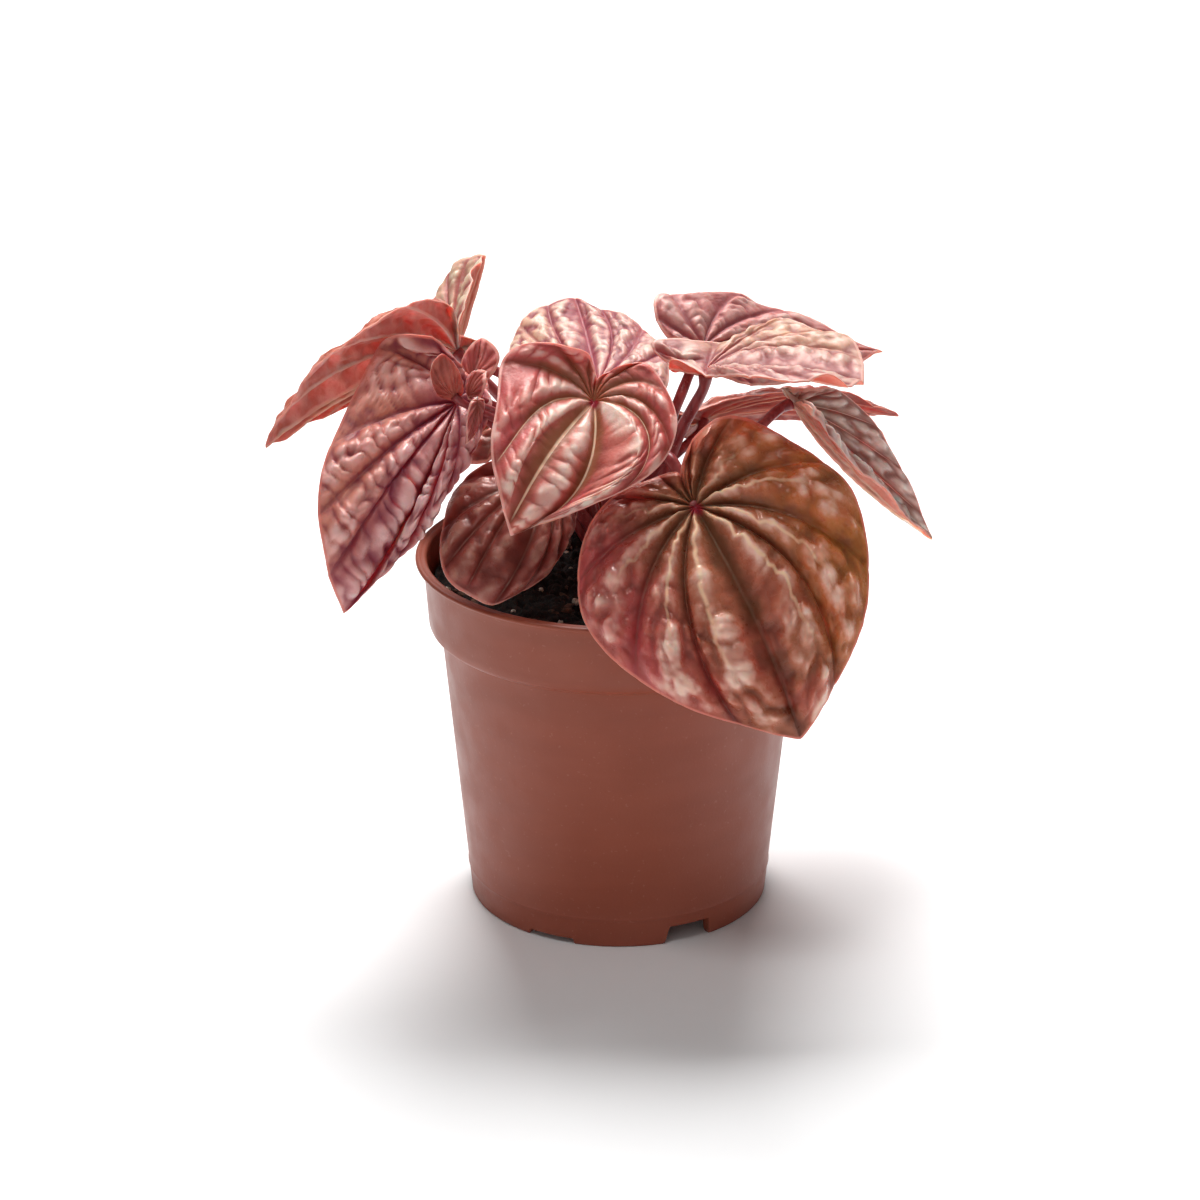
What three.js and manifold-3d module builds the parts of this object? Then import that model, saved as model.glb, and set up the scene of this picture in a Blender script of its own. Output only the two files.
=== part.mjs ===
// Ripple peperomia in a plastic nursery pot, millimetres, +Z up.
// The origin is the middle of the pot's foot on the ground, and -Y is the front.
// A thin-walled pot holds a plug of soil. The crown stands in a hole in the soil, and its petioles
// carry heart-shaped blades that are quilted between their veins.

import * as THREE from 'three';
import { mergeVertices } from 'three/addons/utils/BufferGeometryUtils.js';
import Module from 'manifold-3d';

const wasm = await Module();
wasm.setup();

// ---------------------------------------------------------------- driving dimensions

const CLEARANCE = 0.3; // gap between neighbouring pieces

const POT = {
  height: 94,
  lipRadius: 52.5,
  lipThickness: 1.3,
  bandTopRadius: 50.6,
  bandFootRadius: 49.2,
  bandFoot: 75.2,
  bodyTopRadius: 46.2,
  footRadius: 38.9,
  footRound: 0.7,
  wall: 1.2,
  floorTop: 6.6,
  floorThickness: 1.4,
  ringHeight: 8, // a raised line round the body, just over the floor
  ringRelief: 0.3,
  sides: 48,
};

// Drainage: the foot has three like thirds, each with one deep and one shallow notch.
const NOTCH = { thirds: 3, offset: 27, width: 19, deep: 5, shallow: 1.6, reach: 6 };
const DRAIN = { count: 6, radius: 3.2, ring: 27, sides: 12 };

const SOIL = { top: 87, bump: 0.9, rings: 4, sides: 36 };
const CROWN = { radius: 6.5, foot: 72, shoulder: 88, top: 92, sides: 12 };

const BLADE_THICKNESS = 0.9;
const PETIOLE = { sides: 6, steps: 7, neck: 3.6, gap: 0.5 }; // neck in radii, gap in millimetres

// Veins of one half blade, as shares of the way round its edge from the tip to the sinus. They serve for
// both halves of a leaf that names none of its own.
const VEINS = [0, 0.15, 0.33, 0.5, 0.67, 0.84, 1];
const STRIPS = VEINS.length - 1;

// ---------------------------------------------------------------- the leaves
//
// A blade is held by six points: heel, base, mid and tip along its midrib, and right and left, the widest
// points of its two halves as seen from above with the tip ahead. The petiole meets the blade at the base,
// and the heel lies between the two lobes.
// grid gives the rows from base to edge and the columns in each strip between two veins.
// lobe says how far each half reaches back, breadth how full its lobe is, and taper how soon it narrows.
// veins are a leaf's own veins, right half first, and sweep says how much more than usual they swing out.
// bow puffs each half up, ripple is the height of the ribs between veins, pucker that of the waves along
// them, and frill that of the waves of the margin. stalk is the petiole's way up, and girth its radius.

const LARGE = { rows: 7, columns: 3 };
const MEDIUM = { rows: 6, columns: 2 };
const HIDDEN = { rows: 5, columns: 2 };
const YOUNG = { rows: 4, columns: 1 };

const LEAVES = [
  {
    name: 'leaf_front_right',
    colour: 0x96503c,
    grid: LARGE,
    heel: [13.5, -30, 135.5],
    base: [18.5, -38, 120.5],
    mid: [33.5, -57, 97],
    tip: [44, -62, 69.5],
    right: [-8, -54, 96],
    left: [56.5, -38, 124.5],
    lobe: [0.16, 0.27],
    breadth: [0.65, 0.6],
    taper: [0.15, -0.15],
    veins: [[0, 0.15, 0.36, 0.58, 0.75, 0.88, 1], [0, 0.13, 0.36, 0.57, 0.74, 0.87, 1]],
    sweep: 1.3,
    bow: [2, 2],
    ripple: 2.7,
    pucker: 1,
    frill: 0.6,
    girth: 1.7,
    stalk: [[2, -3, 91], [6, -14, 116], [12, -28, 130]],
  },
  {
    name: 'leaf_front_centre',
    colour: 0xb45a55,
    grid: LARGE,
    heel: [-1.5, -16, 150.5],
    base: [-6.5, -22, 142],
    mid: [-10, -42, 127.5],
    tip: [-26.5, -50, 118],
    right: [-31, -36, 141.5],
    left: [13.5, -34, 138],
    lobe: [0.32, 0.18],
    breadth: [1, 0.8],
    taper: [0.25, -0.1],
    veins: [[0, 0.1, 0.38, 0.62, 0.76, 0.88, 1], [0, 0.28, 0.45, 0.6, 0.75, 0.88, 1]],
    sweep: 1.5,
    bow: [1.5, 1.5],
    ripple: 2,
    pucker: 0.6,
    frill: 0.5,
    girth: 1.7,
    stalk: [[-1, -4, 91], [-3, -8, 112], [-5, -10, 130]],
  },
  {
    name: 'leaf_centre_back',
    colour: 0xd39a93,
    grid: MEDIUM,
    heel: [-5, -12, 136.5],
    base: [-5.5, 0, 139],
    mid: [-8, 27, 142],
    tip: [-11.5, 50, 146],
    right: [12, 20, 141],
    left: [-28, 24, 139],
    lobe: [0.25, 0.25],
    breadth: [1, 1],
    taper: [0.6, 0],
    bow: [1.5, 1.5],
    ripple: 1.7,
    pucker: 0.5,
    frill: 0.5,
    girth: 1.5,
    stalk: [[0, 1, 91], [-1, 1, 112], [-4, 0, 128]],
  },
  {
    name: 'leaf_inside_pot',
    colour: 0x5a3232,
    grid: MEDIUM,
    heel: [-15, -8, 128],
    base: [-20, -16, 120],
    mid: [-22, -36, 111.5],
    tip: [-31.5, -42, 96.5],
    right: [-44, -30, 111.5],
    left: [-11.5, -26, 112.5],
    lobe: [0.2, 0.3],
    breadth: [0.9, 1],
    taper: [-0.2, -0.4],
    bow: [1.5, 1.5],
    ripple: 1.6,
    pucker: 0.5,
    frill: 0.4,
    girth: 1.5,
    stalk: [[-3, -2, 90], [-8, -3, 103], [-15, -7, 113]],
  },
  {
    name: 'leaf_left',
    colour: 0xaa6464,
    grid: LARGE,
    heel: [-39.5, -8, 151],
    base: [-41, -14, 139],
    mid: [-52, -40, 119.5],
    tip: [-68, -50, 98],
    right: [-70.5, -38, 137],
    left: [-35, -22, 134.5],
    lobe: [0.34, 0.1],
    breadth: [1, 0.5],
    taper: [0.1, -0.2],
    bow: [3, 2],
    ripple: 2.4,
    pucker: 1,
    frill: 0.6,
    girth: 1.6,
    stalk: [[-4, 0, 90], [-17, 1, 112], [-33, 0, 130]],
  },
  {
    name: 'leaf_far_left',
    colour: 0xa55046,
    grid: MEDIUM,
    heel: [-35.5, 18, 147],
    base: [-41.5, 10, 145],
    mid: [-67, -13, 143],
    tip: [-86.5, -36, 135.5],
    right: [-56.5, 3, 138],
    left: [-52.5, -13, 164],
    lobe: [0.15, -0.01],
    breadth: [1, 0.7],
    taper: [-0.5, 0.1],
    bow: [1, 1],
    ripple: 1.5,
    pucker: 0.5,
    frill: 0.5,
    girth: 1.5,
    stalk: [[-4, 2, 90], [-14, 5, 112], [-31, 8, 134]],
  },
  {
    name: 'leaf_upper_left',
    colour: 0xd9a294,
    grid: MEDIUM,
    heel: [-43, 21, 134],
    base: [-42, 29, 138.5],
    mid: [-38.5, 42, 147.5],
    tip: [-35, 53, 157],
    right: [-40, 26, 151],
    left: [-48, 51, 146.5],
    lobe: [0.2, 0.2],
    breadth: [1, 1],
    taper: [0, 0],
    bow: [1, 1],
    ripple: 1.4,
    pucker: 0.5,
    frill: 0.4,
    girth: 1.4,
    stalk: [[-3, 4, 90], [-10, 17, 110], [-24, 31, 127]],
  },
  {
    name: 'leaf_back_right',
    colour: 0xb06a6c,
    grid: MEDIUM,
    heel: [7, 18, 145],
    base: [21.5, 24, 141],
    mid: [44.5, 40, 133.5],
    tip: [70, 50, 131],
    right: [34, 16, 133.5],
    left: [31.5, 52, 146],
    lobe: [0.2, 0.25],
    breadth: [0.5, 1],
    taper: [0.4, 0.7],
    bow: [1.5, 1.5],
    ripple: 1.7,
    pucker: 0.5,
    frill: 0.8,
    girth: 1.5,
    stalk: [[2, 3, 91], [8, 9, 112], [16, 17, 131]],
  },
  {
    name: 'leaf_right',
    colour: 0xdba99b,
    grid: MEDIUM,
    heel: [8.5, -2, 146.5],
    base: [21.5, -8, 145],
    mid: [36, -14, 147],
    tip: [60, -22, 146.5],
    right: [31.5, -36, 153.5],
    left: [42, 14, 151],
    lobe: [0.25, 0.34],
    breadth: [0.5, 0.4],
    taper: [-0.6, -0.6],
    bow: [1, 1],
    ripple: 1.6,
    pucker: 0.5,
    frill: 0.9,
    girth: 1.6,
    stalk: [[4, -1, 91], [9, -3, 110], [16, -5, 130]],
  },
  {
    name: 'leaf_right_hanging',
    colour: 0xa0706a,
    grid: MEDIUM,
    heel: [37.5, 24, 130.5],
    base: [45.5, 30, 124],
    mid: [60.5, 40, 101.5],
    tip: [85, 52, 77],
    right: [54.5, 20, 118],
    left: [68.5, 44, 112.5],
    lobe: [-0.1, 0.1],
    breadth: [0.7, 0.8],
    taper: [0.4, 0.3],
    bow: [1, 1],
    ripple: 1.7,
    pucker: 0.5,
    frill: 0.5,
    girth: 1.5,
    stalk: [[4, 2, 90], [16, 10, 108], [34, 19, 119]],
  },
  {
    name: 'leaf_right_back',
    colour: 0x9a5a58,
    grid: MEDIUM,
    heel: [8, 34, 116.5],
    base: [22.5, 42, 115],
    mid: [48.5, 54, 115],
    tip: [76, 64, 108],
    right: [38, 40, 122.5],
    left: [40, 62, 107],
    lobe: [0.25, 0.25],
    breadth: [1, 1],
    taper: [0, 0],
    bow: [1, 1],
    ripple: 1.5,
    pucker: 0.5,
    frill: 0.5,
    girth: 1.4,
    stalk: [[2, 5, 90], [5, 16, 100], [11, 26, 107]],
  },
  {
    name: 'leaf_back_centre',
    colour: 0x9a5a58,
    grid: HIDDEN,
    heel: [-8, 16, 124],
    base: [-6, 28, 121],
    mid: [-9, 46, 114],
    tip: [-11, 64, 94],
    right: [9, 42, 113],
    left: [-20, 42, 115],
    lobe: [0.25, 0.2],
    breadth: [1, 0.8],
    taper: [0, 0],
    bow: [1.5, 1.5],
    ripple: 1.6,
    pucker: 0.5,
    frill: 0.5,
    girth: 1.5,
    stalk: [[-1, 5, 89], [-2, 14, 102], [-4, 22, 112]],
  },
  {
    name: 'leaf_back_left',
    colour: 0x9a5a58,
    grid: HIDDEN,
    heel: [-20, 14, 124],
    base: [-30, 20, 122],
    mid: [-46, 30, 118],
    tip: [-64, 38, 104],
    right: [-38, 44, 116],
    left: [-48, 16, 113],
    lobe: [0.15, 0.25],
    breadth: [0.8, 1],
    taper: [0, 0],
    bow: [1.5, 1.5],
    ripple: 1.6,
    pucker: 0.5,
    frill: 0.5,
    girth: 1.5,
    stalk: [[-4, 4, 89], [-11, 9, 102], [-22, 16, 113]],
  },
  {
    name: 'leaf_back_right_low',
    colour: 0x9a5a58,
    grid: HIDDEN,
    heel: [17, 13, 107],
    base: [24, 20, 106],
    mid: [37, 33, 100],
    tip: [50, 45, 82],
    right: [45, 17, 101],
    left: [24, 40, 101],
    lobe: [0.25, 0.25],
    breadth: [1, 1],
    taper: [0, 0],
    bow: [1.5, 1.5],
    ripple: 1.6,
    pucker: 0.5,
    frill: 0.5,
    girth: 1.5,
    stalk: [[4, 3, 88], [10, 9, 95], [17, 15, 100]],
  },
  {
    name: 'leaf_young_cup',
    colour: 0xa8605a,
    grid: YOUNG,
    heel: [-41, -21, 141.5],
    base: [-41, -23, 144.5],
    mid: [-42, -27, 150.5],
    tip: [-43.5, -28, 157],
    right: [-46, -31, 151],
    left: [-39, -26, 150],
    lobe: [0.2, 0.2],
    breadth: [1, 1],
    taper: [0, 0],
    bow: [0.3, 0.3],
    ripple: 0.4,
    pucker: 0,
    frill: 0,
    girth: 1,
    stalk: [[-4, -1, 90], [-13, -1, 116], [-26, -16, 133]],
  },
  {
    name: 'leaf_young_back',
    colour: 0xa8605a,
    grid: YOUNG,
    heel: [-38, 0, 137],
    base: [-37.5, 1, 139.5],
    mid: [-36, 4, 144],
    tip: [-35, 7, 149.5],
    right: [-30.5, 0, 145.5],
    left: [-40, 3, 144.5],
    lobe: [0.2, 0.2],
    breadth: [1, 1],
    taper: [0, 0],
    bow: [1, 1],
    ripple: 0.6,
    pucker: 0,
    frill: 0,
    girth: 1,
    stalk: [[-4, 3, 90], [-14, 3, 112], [-30, 3, 128]],
  },
  {
    name: 'leaf_young_front',
    colour: 0xa8606a,
    grid: YOUNG,
    heel: [-37.5, -20.5, 141.5],
    base: [-37, -20.5, 143.5],
    mid: [-35.5, -21.5, 147],
    tip: [-33, -21, 150],
    right: [-33.5, -25, 146.5],
    left: [-36.5, -18, 147.5],
    lobe: [0.15, 0.15],
    breadth: [1, 1],
    taper: [0, 0],
    bow: [0.5, 0.5],
    ripple: 0.5,
    pucker: 0,
    frill: 0,
    girth: 0.9,
    stalk: [[-3, -1, 90], [-11, 0, 116], [-22, -12, 133]],
  },
  {
    name: 'leaf_young_narrow',
    colour: 0xb4687a,
    grid: YOUNG,
    heel: [-35, -27.5, 146],
    base: [-35.5, -28.5, 145],
    mid: [-36.5, -30.5, 140.5],
    tip: [-38, -30.5, 134.5],
    right: [-37.5, -31.5, 142.5],
    left: [-34, -28.5, 141.5],
    lobe: [0.15, 0.15],
    breadth: [1, 1],
    taper: [0, 0],
    bow: [0.5, 0.5],
    ripple: 0.5,
    pucker: 0,
    frill: 0,
    girth: 0.9,
    stalk: [[-3, -2, 90], [-10, -1, 116], [-20, -11, 131]],
  },
];

// ---------------------------------------------------------------- shared geometry helpers

const vector = (point) => new THREE.Vector3(...point);

/** Merges the shared corners of a geometry, so that only positions and triangles are left. */
function bare(geometry) {
  geometry.deleteAttribute('normal');
  geometry.deleteAttribute('uv');
  return mergeVertices(geometry, 1e-4);
}

/** Turns a closed geometry into a solid that can be joined and cut. */
function solid(geometry) {
  const merged = bare(geometry);
  return new wasm.Manifold(
    new wasm.Mesh({
      numProp: 3,
      vertProperties: new Float32Array(merged.attributes.position.array),
      triVerts: new Uint32Array(merged.index.array),
    }),
  );
}

/** Turns a joined or cut solid back into a geometry. */
function geometryOf(manifold) {
  const { vertProperties, triVerts } = manifold.getMesh();
  const geometry = new THREE.BufferGeometry();
  geometry.setAttribute('position', new THREE.BufferAttribute(vertProperties, 3));
  geometry.setIndex(new THREE.BufferAttribute(triVerts, 1));
  return geometry;
}

/** Spins a closed profile of [radius, height] pairs round the Z axis. */
function lathe(profile, sides) {
  const points = profile.map(([radius, height]) => new THREE.Vector2(radius, height));
  return new THREE.LatheGeometry(points, sides).rotateX(Math.PI / 2);
}

/** A named mesh with its own plain material. */
function piece(name, geometry, colour, roughness) {
  const material = new THREE.MeshStandardMaterial({ color: colour, roughness, metalness: 0 });
  const mesh = new THREE.Mesh(geometry, material);
  mesh.name = name;
  return mesh;
}

// ---------------------------------------------------------------- pot

/** The pot's wall, from the foot up the outside, over the lip and down the inside to the floor. */
function potProfile() {
  const p = POT;
  const lipFoot = p.height - p.lipThickness;
  const slope = (p.bodyTopRadius - p.footRadius) / p.bandFoot;
  const bodyRadius = (z) => p.footRadius + slope * z;
  const outside = [
    [p.footRadius - p.footRound, 0],
    [bodyRadius(p.footRound), p.footRound],
    [bodyRadius(p.ringHeight) - 0.1, p.ringHeight - 0.5],
    [bodyRadius(p.ringHeight) + p.ringRelief, p.ringHeight],
    [bodyRadius(p.ringHeight), p.ringHeight + 0.5],
    [p.bodyTopRadius - 0.1, p.bandFoot - 1],
    [p.bandFootRadius - 0.7, p.bandFoot - 0.2],
    [p.bandFootRadius, p.bandFoot + 0.5],
    [p.bandTopRadius, lipFoot - 0.4],
    [p.lipRadius - 0.2, lipFoot],
    [p.lipRadius, lipFoot + 0.4],
    [p.lipRadius - 0.3, p.height],
  ];
  const inside = [
    [p.bandTopRadius - p.wall + 0.2, p.height],
    [p.bandTopRadius - p.wall, p.height - 0.6],
    [p.bandFootRadius - p.wall, p.bandFoot + 1.4],
    [p.bodyTopRadius - p.wall, p.bandFoot - 0.4],
    [bodyRadius(p.floorTop) - p.wall, p.floorTop],
    [0, p.floorTop],
    [0, p.floorTop - p.floorThickness],
    [p.footRadius - 2 * p.wall, p.floorTop - p.floorThickness],
    [p.footRadius - 2 * p.wall, 0],
  ];
  return [...outside, ...inside, outside[0]];
}

/** A wedge through the foot wall, centred at an angle in degrees from the front towards +X. */
function notch(angle, height) {
  const breadth = POT.footRadius * THREE.MathUtils.degToRad(NOTCH.width);
  const box = new THREE.BoxGeometry(breadth, NOTCH.reach, height + 1);
  box.translate(0, -(POT.footRadius - NOTCH.reach / 3), (height - 1) / 2);
  box.rotateZ(THREE.MathUtils.degToRad(angle));
  return solid(box);
}

/** A drain hole through the floor. */
function drain(angle) {
  const hole = new THREE.CylinderGeometry(DRAIN.radius, DRAIN.radius, 4 * POT.floorThickness, DRAIN.sides);
  hole.rotateX(Math.PI / 2);
  hole.translate(0, -DRAIN.ring, POT.floorTop - POT.floorThickness / 2);
  hole.rotateZ(THREE.MathUtils.degToRad(angle));
  return solid(hole);
}

function makePot() {
  let pot = solid(lathe(potProfile(), POT.sides));
  for (let third = 0; third < NOTCH.thirds; third += 1) {
    const turn = (360 / NOTCH.thirds) * third;
    pot = pot.subtract(notch(turn + NOTCH.offset, NOTCH.deep));
    pot = pot.subtract(notch(turn - NOTCH.offset, NOTCH.shallow));
  }
  for (let hole = 0; hole < DRAIN.count; hole += 1) {
    pot = pot.subtract(drain((360 / DRAIN.count) * hole));
  }
  return piece('pot', geometryOf(pot), 0x82493a, 0.45);
}

// ---------------------------------------------------------------- soil

/** Uneven height of the soil's top, from a few crossing waves. */
function soilBump(x, y) {
  const broad = Math.sin(0.31 * x + 1.2) * Math.cos(0.27 * y);
  const small = Math.sin(0.62 * y - 0.43 * x + 0.5);
  return SOIL.bump * (broad + 0.6 * small);
}

function makeSoil() {
  const hole = CROWN.radius + CLEARANCE;
  const slope = (POT.bodyTopRadius - POT.footRadius) / POT.bandFoot;
  const wallRadius = (z) => POT.footRadius + slope * z - POT.wall - CLEARANCE - 0.1;
  const foot = POT.floorTop + CLEARANCE;
  const rimRadius = POT.bandFootRadius - POT.wall - CLEARANCE;
  const profile = [
    [0, foot],
    [wallRadius(foot), foot],
    [wallRadius(POT.bandFoot), POT.bandFoot],
    [rimRadius, POT.bandFoot + 2],
    [rimRadius + 0.5, SOIL.top - 0.6],
  ];
  for (let ring = 0; ring <= SOIL.rings; ring += 1) {
    const share = ring / SOIL.rings;
    profile.push([THREE.MathUtils.lerp(rimRadius - 0.6, hole + 0.8, share), SOIL.top]);
  }
  profile.push([hole, SOIL.top - 0.8], [hole, CROWN.foot - CLEARANCE], [0, CROWN.foot - CLEARANCE]);
  const geometry = bare(lathe([...profile, profile[0]], SOIL.sides));
  const position = geometry.attributes.position;
  for (let i = 0; i < position.count; i += 1) {
    if (position.getZ(i) > SOIL.top - 0.1) {
      position.setZ(i, position.getZ(i) + soilBump(position.getX(i), position.getY(i)));
    }
  }
  return piece('soil', geometry, 0x14100c, 0.95);
}

// ---------------------------------------------------------------- blades

const HEEL = 0.3; // the heel lies this share of the midrib behind the base
const WIDEST = 0.28; // and the blade is widest this share ahead of it
const SINUS = 0.14; // the cut between the lobes ends this share behind the base

const flatCurve = (...points) => {
  const [a, b, c, d] = points.map(([along, across]) => new THREE.Vector2(along, across));
  return new THREE.CubicBezierCurve(a, b, c, d);
};

/** The heart's half outline, as shares along and across, at a share of the way from tip to sinus. */
function heart({ lobe, breadth, taper }, share) {
  const front = flatCurve([1, 0], [0.9, 0.36 * (1 - taper)], [0.63 - 0.25 * taper, 1], [WIDEST, 1]);
  if (share < 0.5) return front.getPoint(share / 0.5);
  const side = flatCurve([WIDEST, 1], [WIDEST - 0.3 * breadth, 1], [-lobe, 0.92 * breadth], [-lobe, 0.5 * breadth]);
  if (share < 0.8) return side.getPoint((share - 0.5) / 0.3);
  const back = flatCurve([-lobe, 0.5 * breadth], [-lobe, 0.2 * breadth], [-SINUS - 0.04, 0.03], [-SINUS, 0]);
  return back.getPoint((share - 0.8) / 0.2);
}

/** How far a vein that ends at this share of the edge swings outwards on its way. */
function veinSwing(share) {
  return 0.34 * Math.min(1, share / 0.12) * (1 - share) * (1 - 0.4 * share);
}

/** The flat place of a point: turn is -1..1 round the edge (right half positive), s is 0..1 out to it. */
function flatPlace(leaf, turn, s) {
  const share = Math.abs(turn);
  const half = turn < 0 ? 1 : 0;
  const edge = heart({ lobe: leaf.lobe[half], breadth: leaf.breadth[half], taper: leaf.taper[half] }, share);
  const swing = 2 * (leaf.sweep ?? 1) * veinSwing(share) * s * (1 - s);
  const along = s * edge.x - 0.6 * swing * edge.y;
  const across = s * edge.y + 1.4 * swing * edge.x;
  return { along, across: turn < 0 ? -across : across };
}

/** The veins of the half that a turn lies in. */
const veinsOf = (leaf, turn) => (leaf.veins ? leaf.veins[turn < 0 ? 1 : 0] : VEINS);

/** Height of the quilting: ribs between the veins, with waves along each rib. */
function relief(leaf, turn, s) {
  const share = Math.min(Math.abs(turn), 0.9999);
  const veins = veinsOf(leaf, turn);
  const strip = veins.findIndex((vein, i) => share >= vein && share < veins[i + 1]);
  const u = (share - veins[strip]) / (veins[strip + 1] - veins[strip]);
  const rib = Math.pow(Math.sin(Math.PI * u), 0.8);
  const swell = Math.pow(s, 0.8) * (1 - 0.8 * Math.pow(s, 5));
  const phase = 0.37 * strip + (turn < 0 ? 0.5 : 0);
  const wave = Math.sin(2 * Math.PI * (3.2 * s + 0.4 * Math.abs(2 * u - 1) + phase));
  return rib * swell * (leaf.ripple + leaf.pucker * wave);
}

/** Gives the function that places a leaf's blade in space from its six points. */
function bladeSheet(leaf) {
  const base = vector(leaf.base);
  const toTip = vector(leaf.tip).sub(base);
  const ahead = vector(leaf.mid).sub(base).multiplyScalar(4).sub(toTip);
  const frontBend = toTip.clone().sub(ahead);
  const toHeel = vector(leaf.heel).sub(base);
  const backBend = toHeel.addScaledVector(ahead, HEEL).divideScalar(HEEL * HEEL);
  const bend = (along) => (along < 0 ? backBend : frontBend);
  const midrib = (along) =>
    base.clone().addScaledVector(ahead, along).addScaledVector(bend(along), along * along);
  const heading = (along) => ahead.clone().addScaledVector(bend(along), 2 * along);
  const widest = midrib(WIDEST);
  const halves = [leaf.right, leaf.left].map((point, i) => {
    const sign = i === 0 ? 1 : -1;
    const out = vector(point).sub(widest);
    const up = out.clone().cross(toTip).normalize().multiplyScalar(sign);
    return { out, up, sign, bow: leaf.bow[i] };
  });

  /** The sheet's run across a half, towards the right, at a share of the way out from the midrib. */
  const run = ({ out, up, sign, bow }, share) =>
    out.clone().addScaledVector(up, 4 * bow * (1 - 2 * share)).multiplyScalar(sign);

  /** The upward normal, turned smoothly over the fold at the midrib. */
  const upward = (along, across) => {
    const share = Math.min(Math.abs(across), 1);
    const rightShare = THREE.MathUtils.smoothstep(across, -0.25, 0.25);
    const right = run(halves[0], share).multiplyScalar(rightShare);
    return right.addScaledVector(run(halves[1], share), 1 - rightShare).cross(heading(along)).normalize();
  };

  return (turn, s) => {
    const { along, across } = flatPlace(leaf, turn, s);
    const { out, up, bow } = across < 0 ? halves[1] : halves[0];
    const share = Math.abs(across);
    const point = midrib(along).addScaledVector(out, share);
    point.addScaledVector(up, 4 * bow * share * (1 - share));
    const normal = upward(along, across);
    const frill = leaf.frill * Math.pow(s, 4) * Math.sin(2 * Math.PI * (4 * Math.abs(turn) + 0.2));
    point.addScaledVector(normal, relief(leaf, turn, s) + frill);
    return { point, normal };
  };
}

/** A closed thin blade: rows run from the base over the upper face to the edge and back underneath. */
function makeBlade(leaf) {
  const sheet = bladeSheet(leaf);
  const columns = 2 * STRIPS * leaf.grid.columns;
  const rows = 2 * leaf.grid.rows + 1;
  const geometry = new THREE.SphereGeometry(1, columns, rows);
  const { position, uv } = geometry.attributes;
  for (let i = 0; i < position.count; i += 1) {
    const column = Math.round(uv.getX(i) * columns) % columns;
    const row = Math.round((1 - uv.getY(i)) * rows);
    const place = STRIPS - column / leaf.grid.columns;
    const veins = veinsOf(leaf, place);
    const strip = Math.min(Math.floor(Math.abs(place)), STRIPS - 1);
    const share = THREE.MathUtils.lerp(veins[strip], veins[strip + 1], Math.abs(place) - strip);
    const upper = row <= leaf.grid.rows;
    const s = (upper ? row : rows - row) / leaf.grid.rows;
    const { point, normal } = sheet(place < 0 ? -share : share, s);
    point.addScaledVector(normal, (upper ? 0.5 : -0.5) * BLADE_THICKNESS);
    position.setXYZ(i, point.x, point.y, point.z);
  }
  return piece(leaf.name, bare(geometry), leaf.colour, 0.4);
}

// ---------------------------------------------------------------- crown and petioles

/** A tube along a smooth curve through the given points. */
function tube(points, radius) {
  const path = new THREE.CatmullRomCurve3(points, false, 'centripetal');
  const corners = Array.from({ length: PETIOLE.sides }, (_, side) => {
    const angle = (2 * Math.PI * side) / PETIOLE.sides;
    return new THREE.Vector2(radius * Math.cos(angle), radius * Math.sin(angle));
  });
  return new THREE.ExtrudeGeometry(new THREE.Shape(corners), { steps: PETIOLE.steps, extrudePath: path });
}

/** A petiole: up its own way from the crown, then through a short neck to just under the blade's base. */
function petiole(leaf) {
  const { point, normal } = bladeSheet(leaf)(0, 0);
  const end = point.clone().addScaledVector(normal, -BLADE_THICKNESS / 2 - PETIOLE.gap);
  const neck = point.clone().addScaledVector(normal, -PETIOLE.neck * leaf.girth);
  return solid(tube([...leaf.stalk.map(vector), neck, end], leaf.girth));
}

function makeCrown() {
  const profile = [
    [0, CROWN.foot],
    [CROWN.radius - 1, CROWN.foot],
    [CROWN.radius, CROWN.foot + 1],
    [CROWN.radius, CROWN.shoulder],
    [CROWN.radius - 2, CROWN.top - 0.6],
    [0, CROWN.top],
  ];
  const crown = LEAVES.reduce((whole, leaf) => whole.add(petiole(leaf)), solid(lathe(profile, CROWN.sides)));
  return piece('crown_and_petioles', geometryOf(crown), 0x6e1e2d, 0.35);
}

// ---------------------------------------------------------------- the plant in its pot

const plant = new THREE.Group();
plant.add(makePot(), makeSoil(), makeCrown());
LEAVES.forEach((leaf) => plant.add(makeBlade(leaf)));

export default plant;
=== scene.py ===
import math

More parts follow.
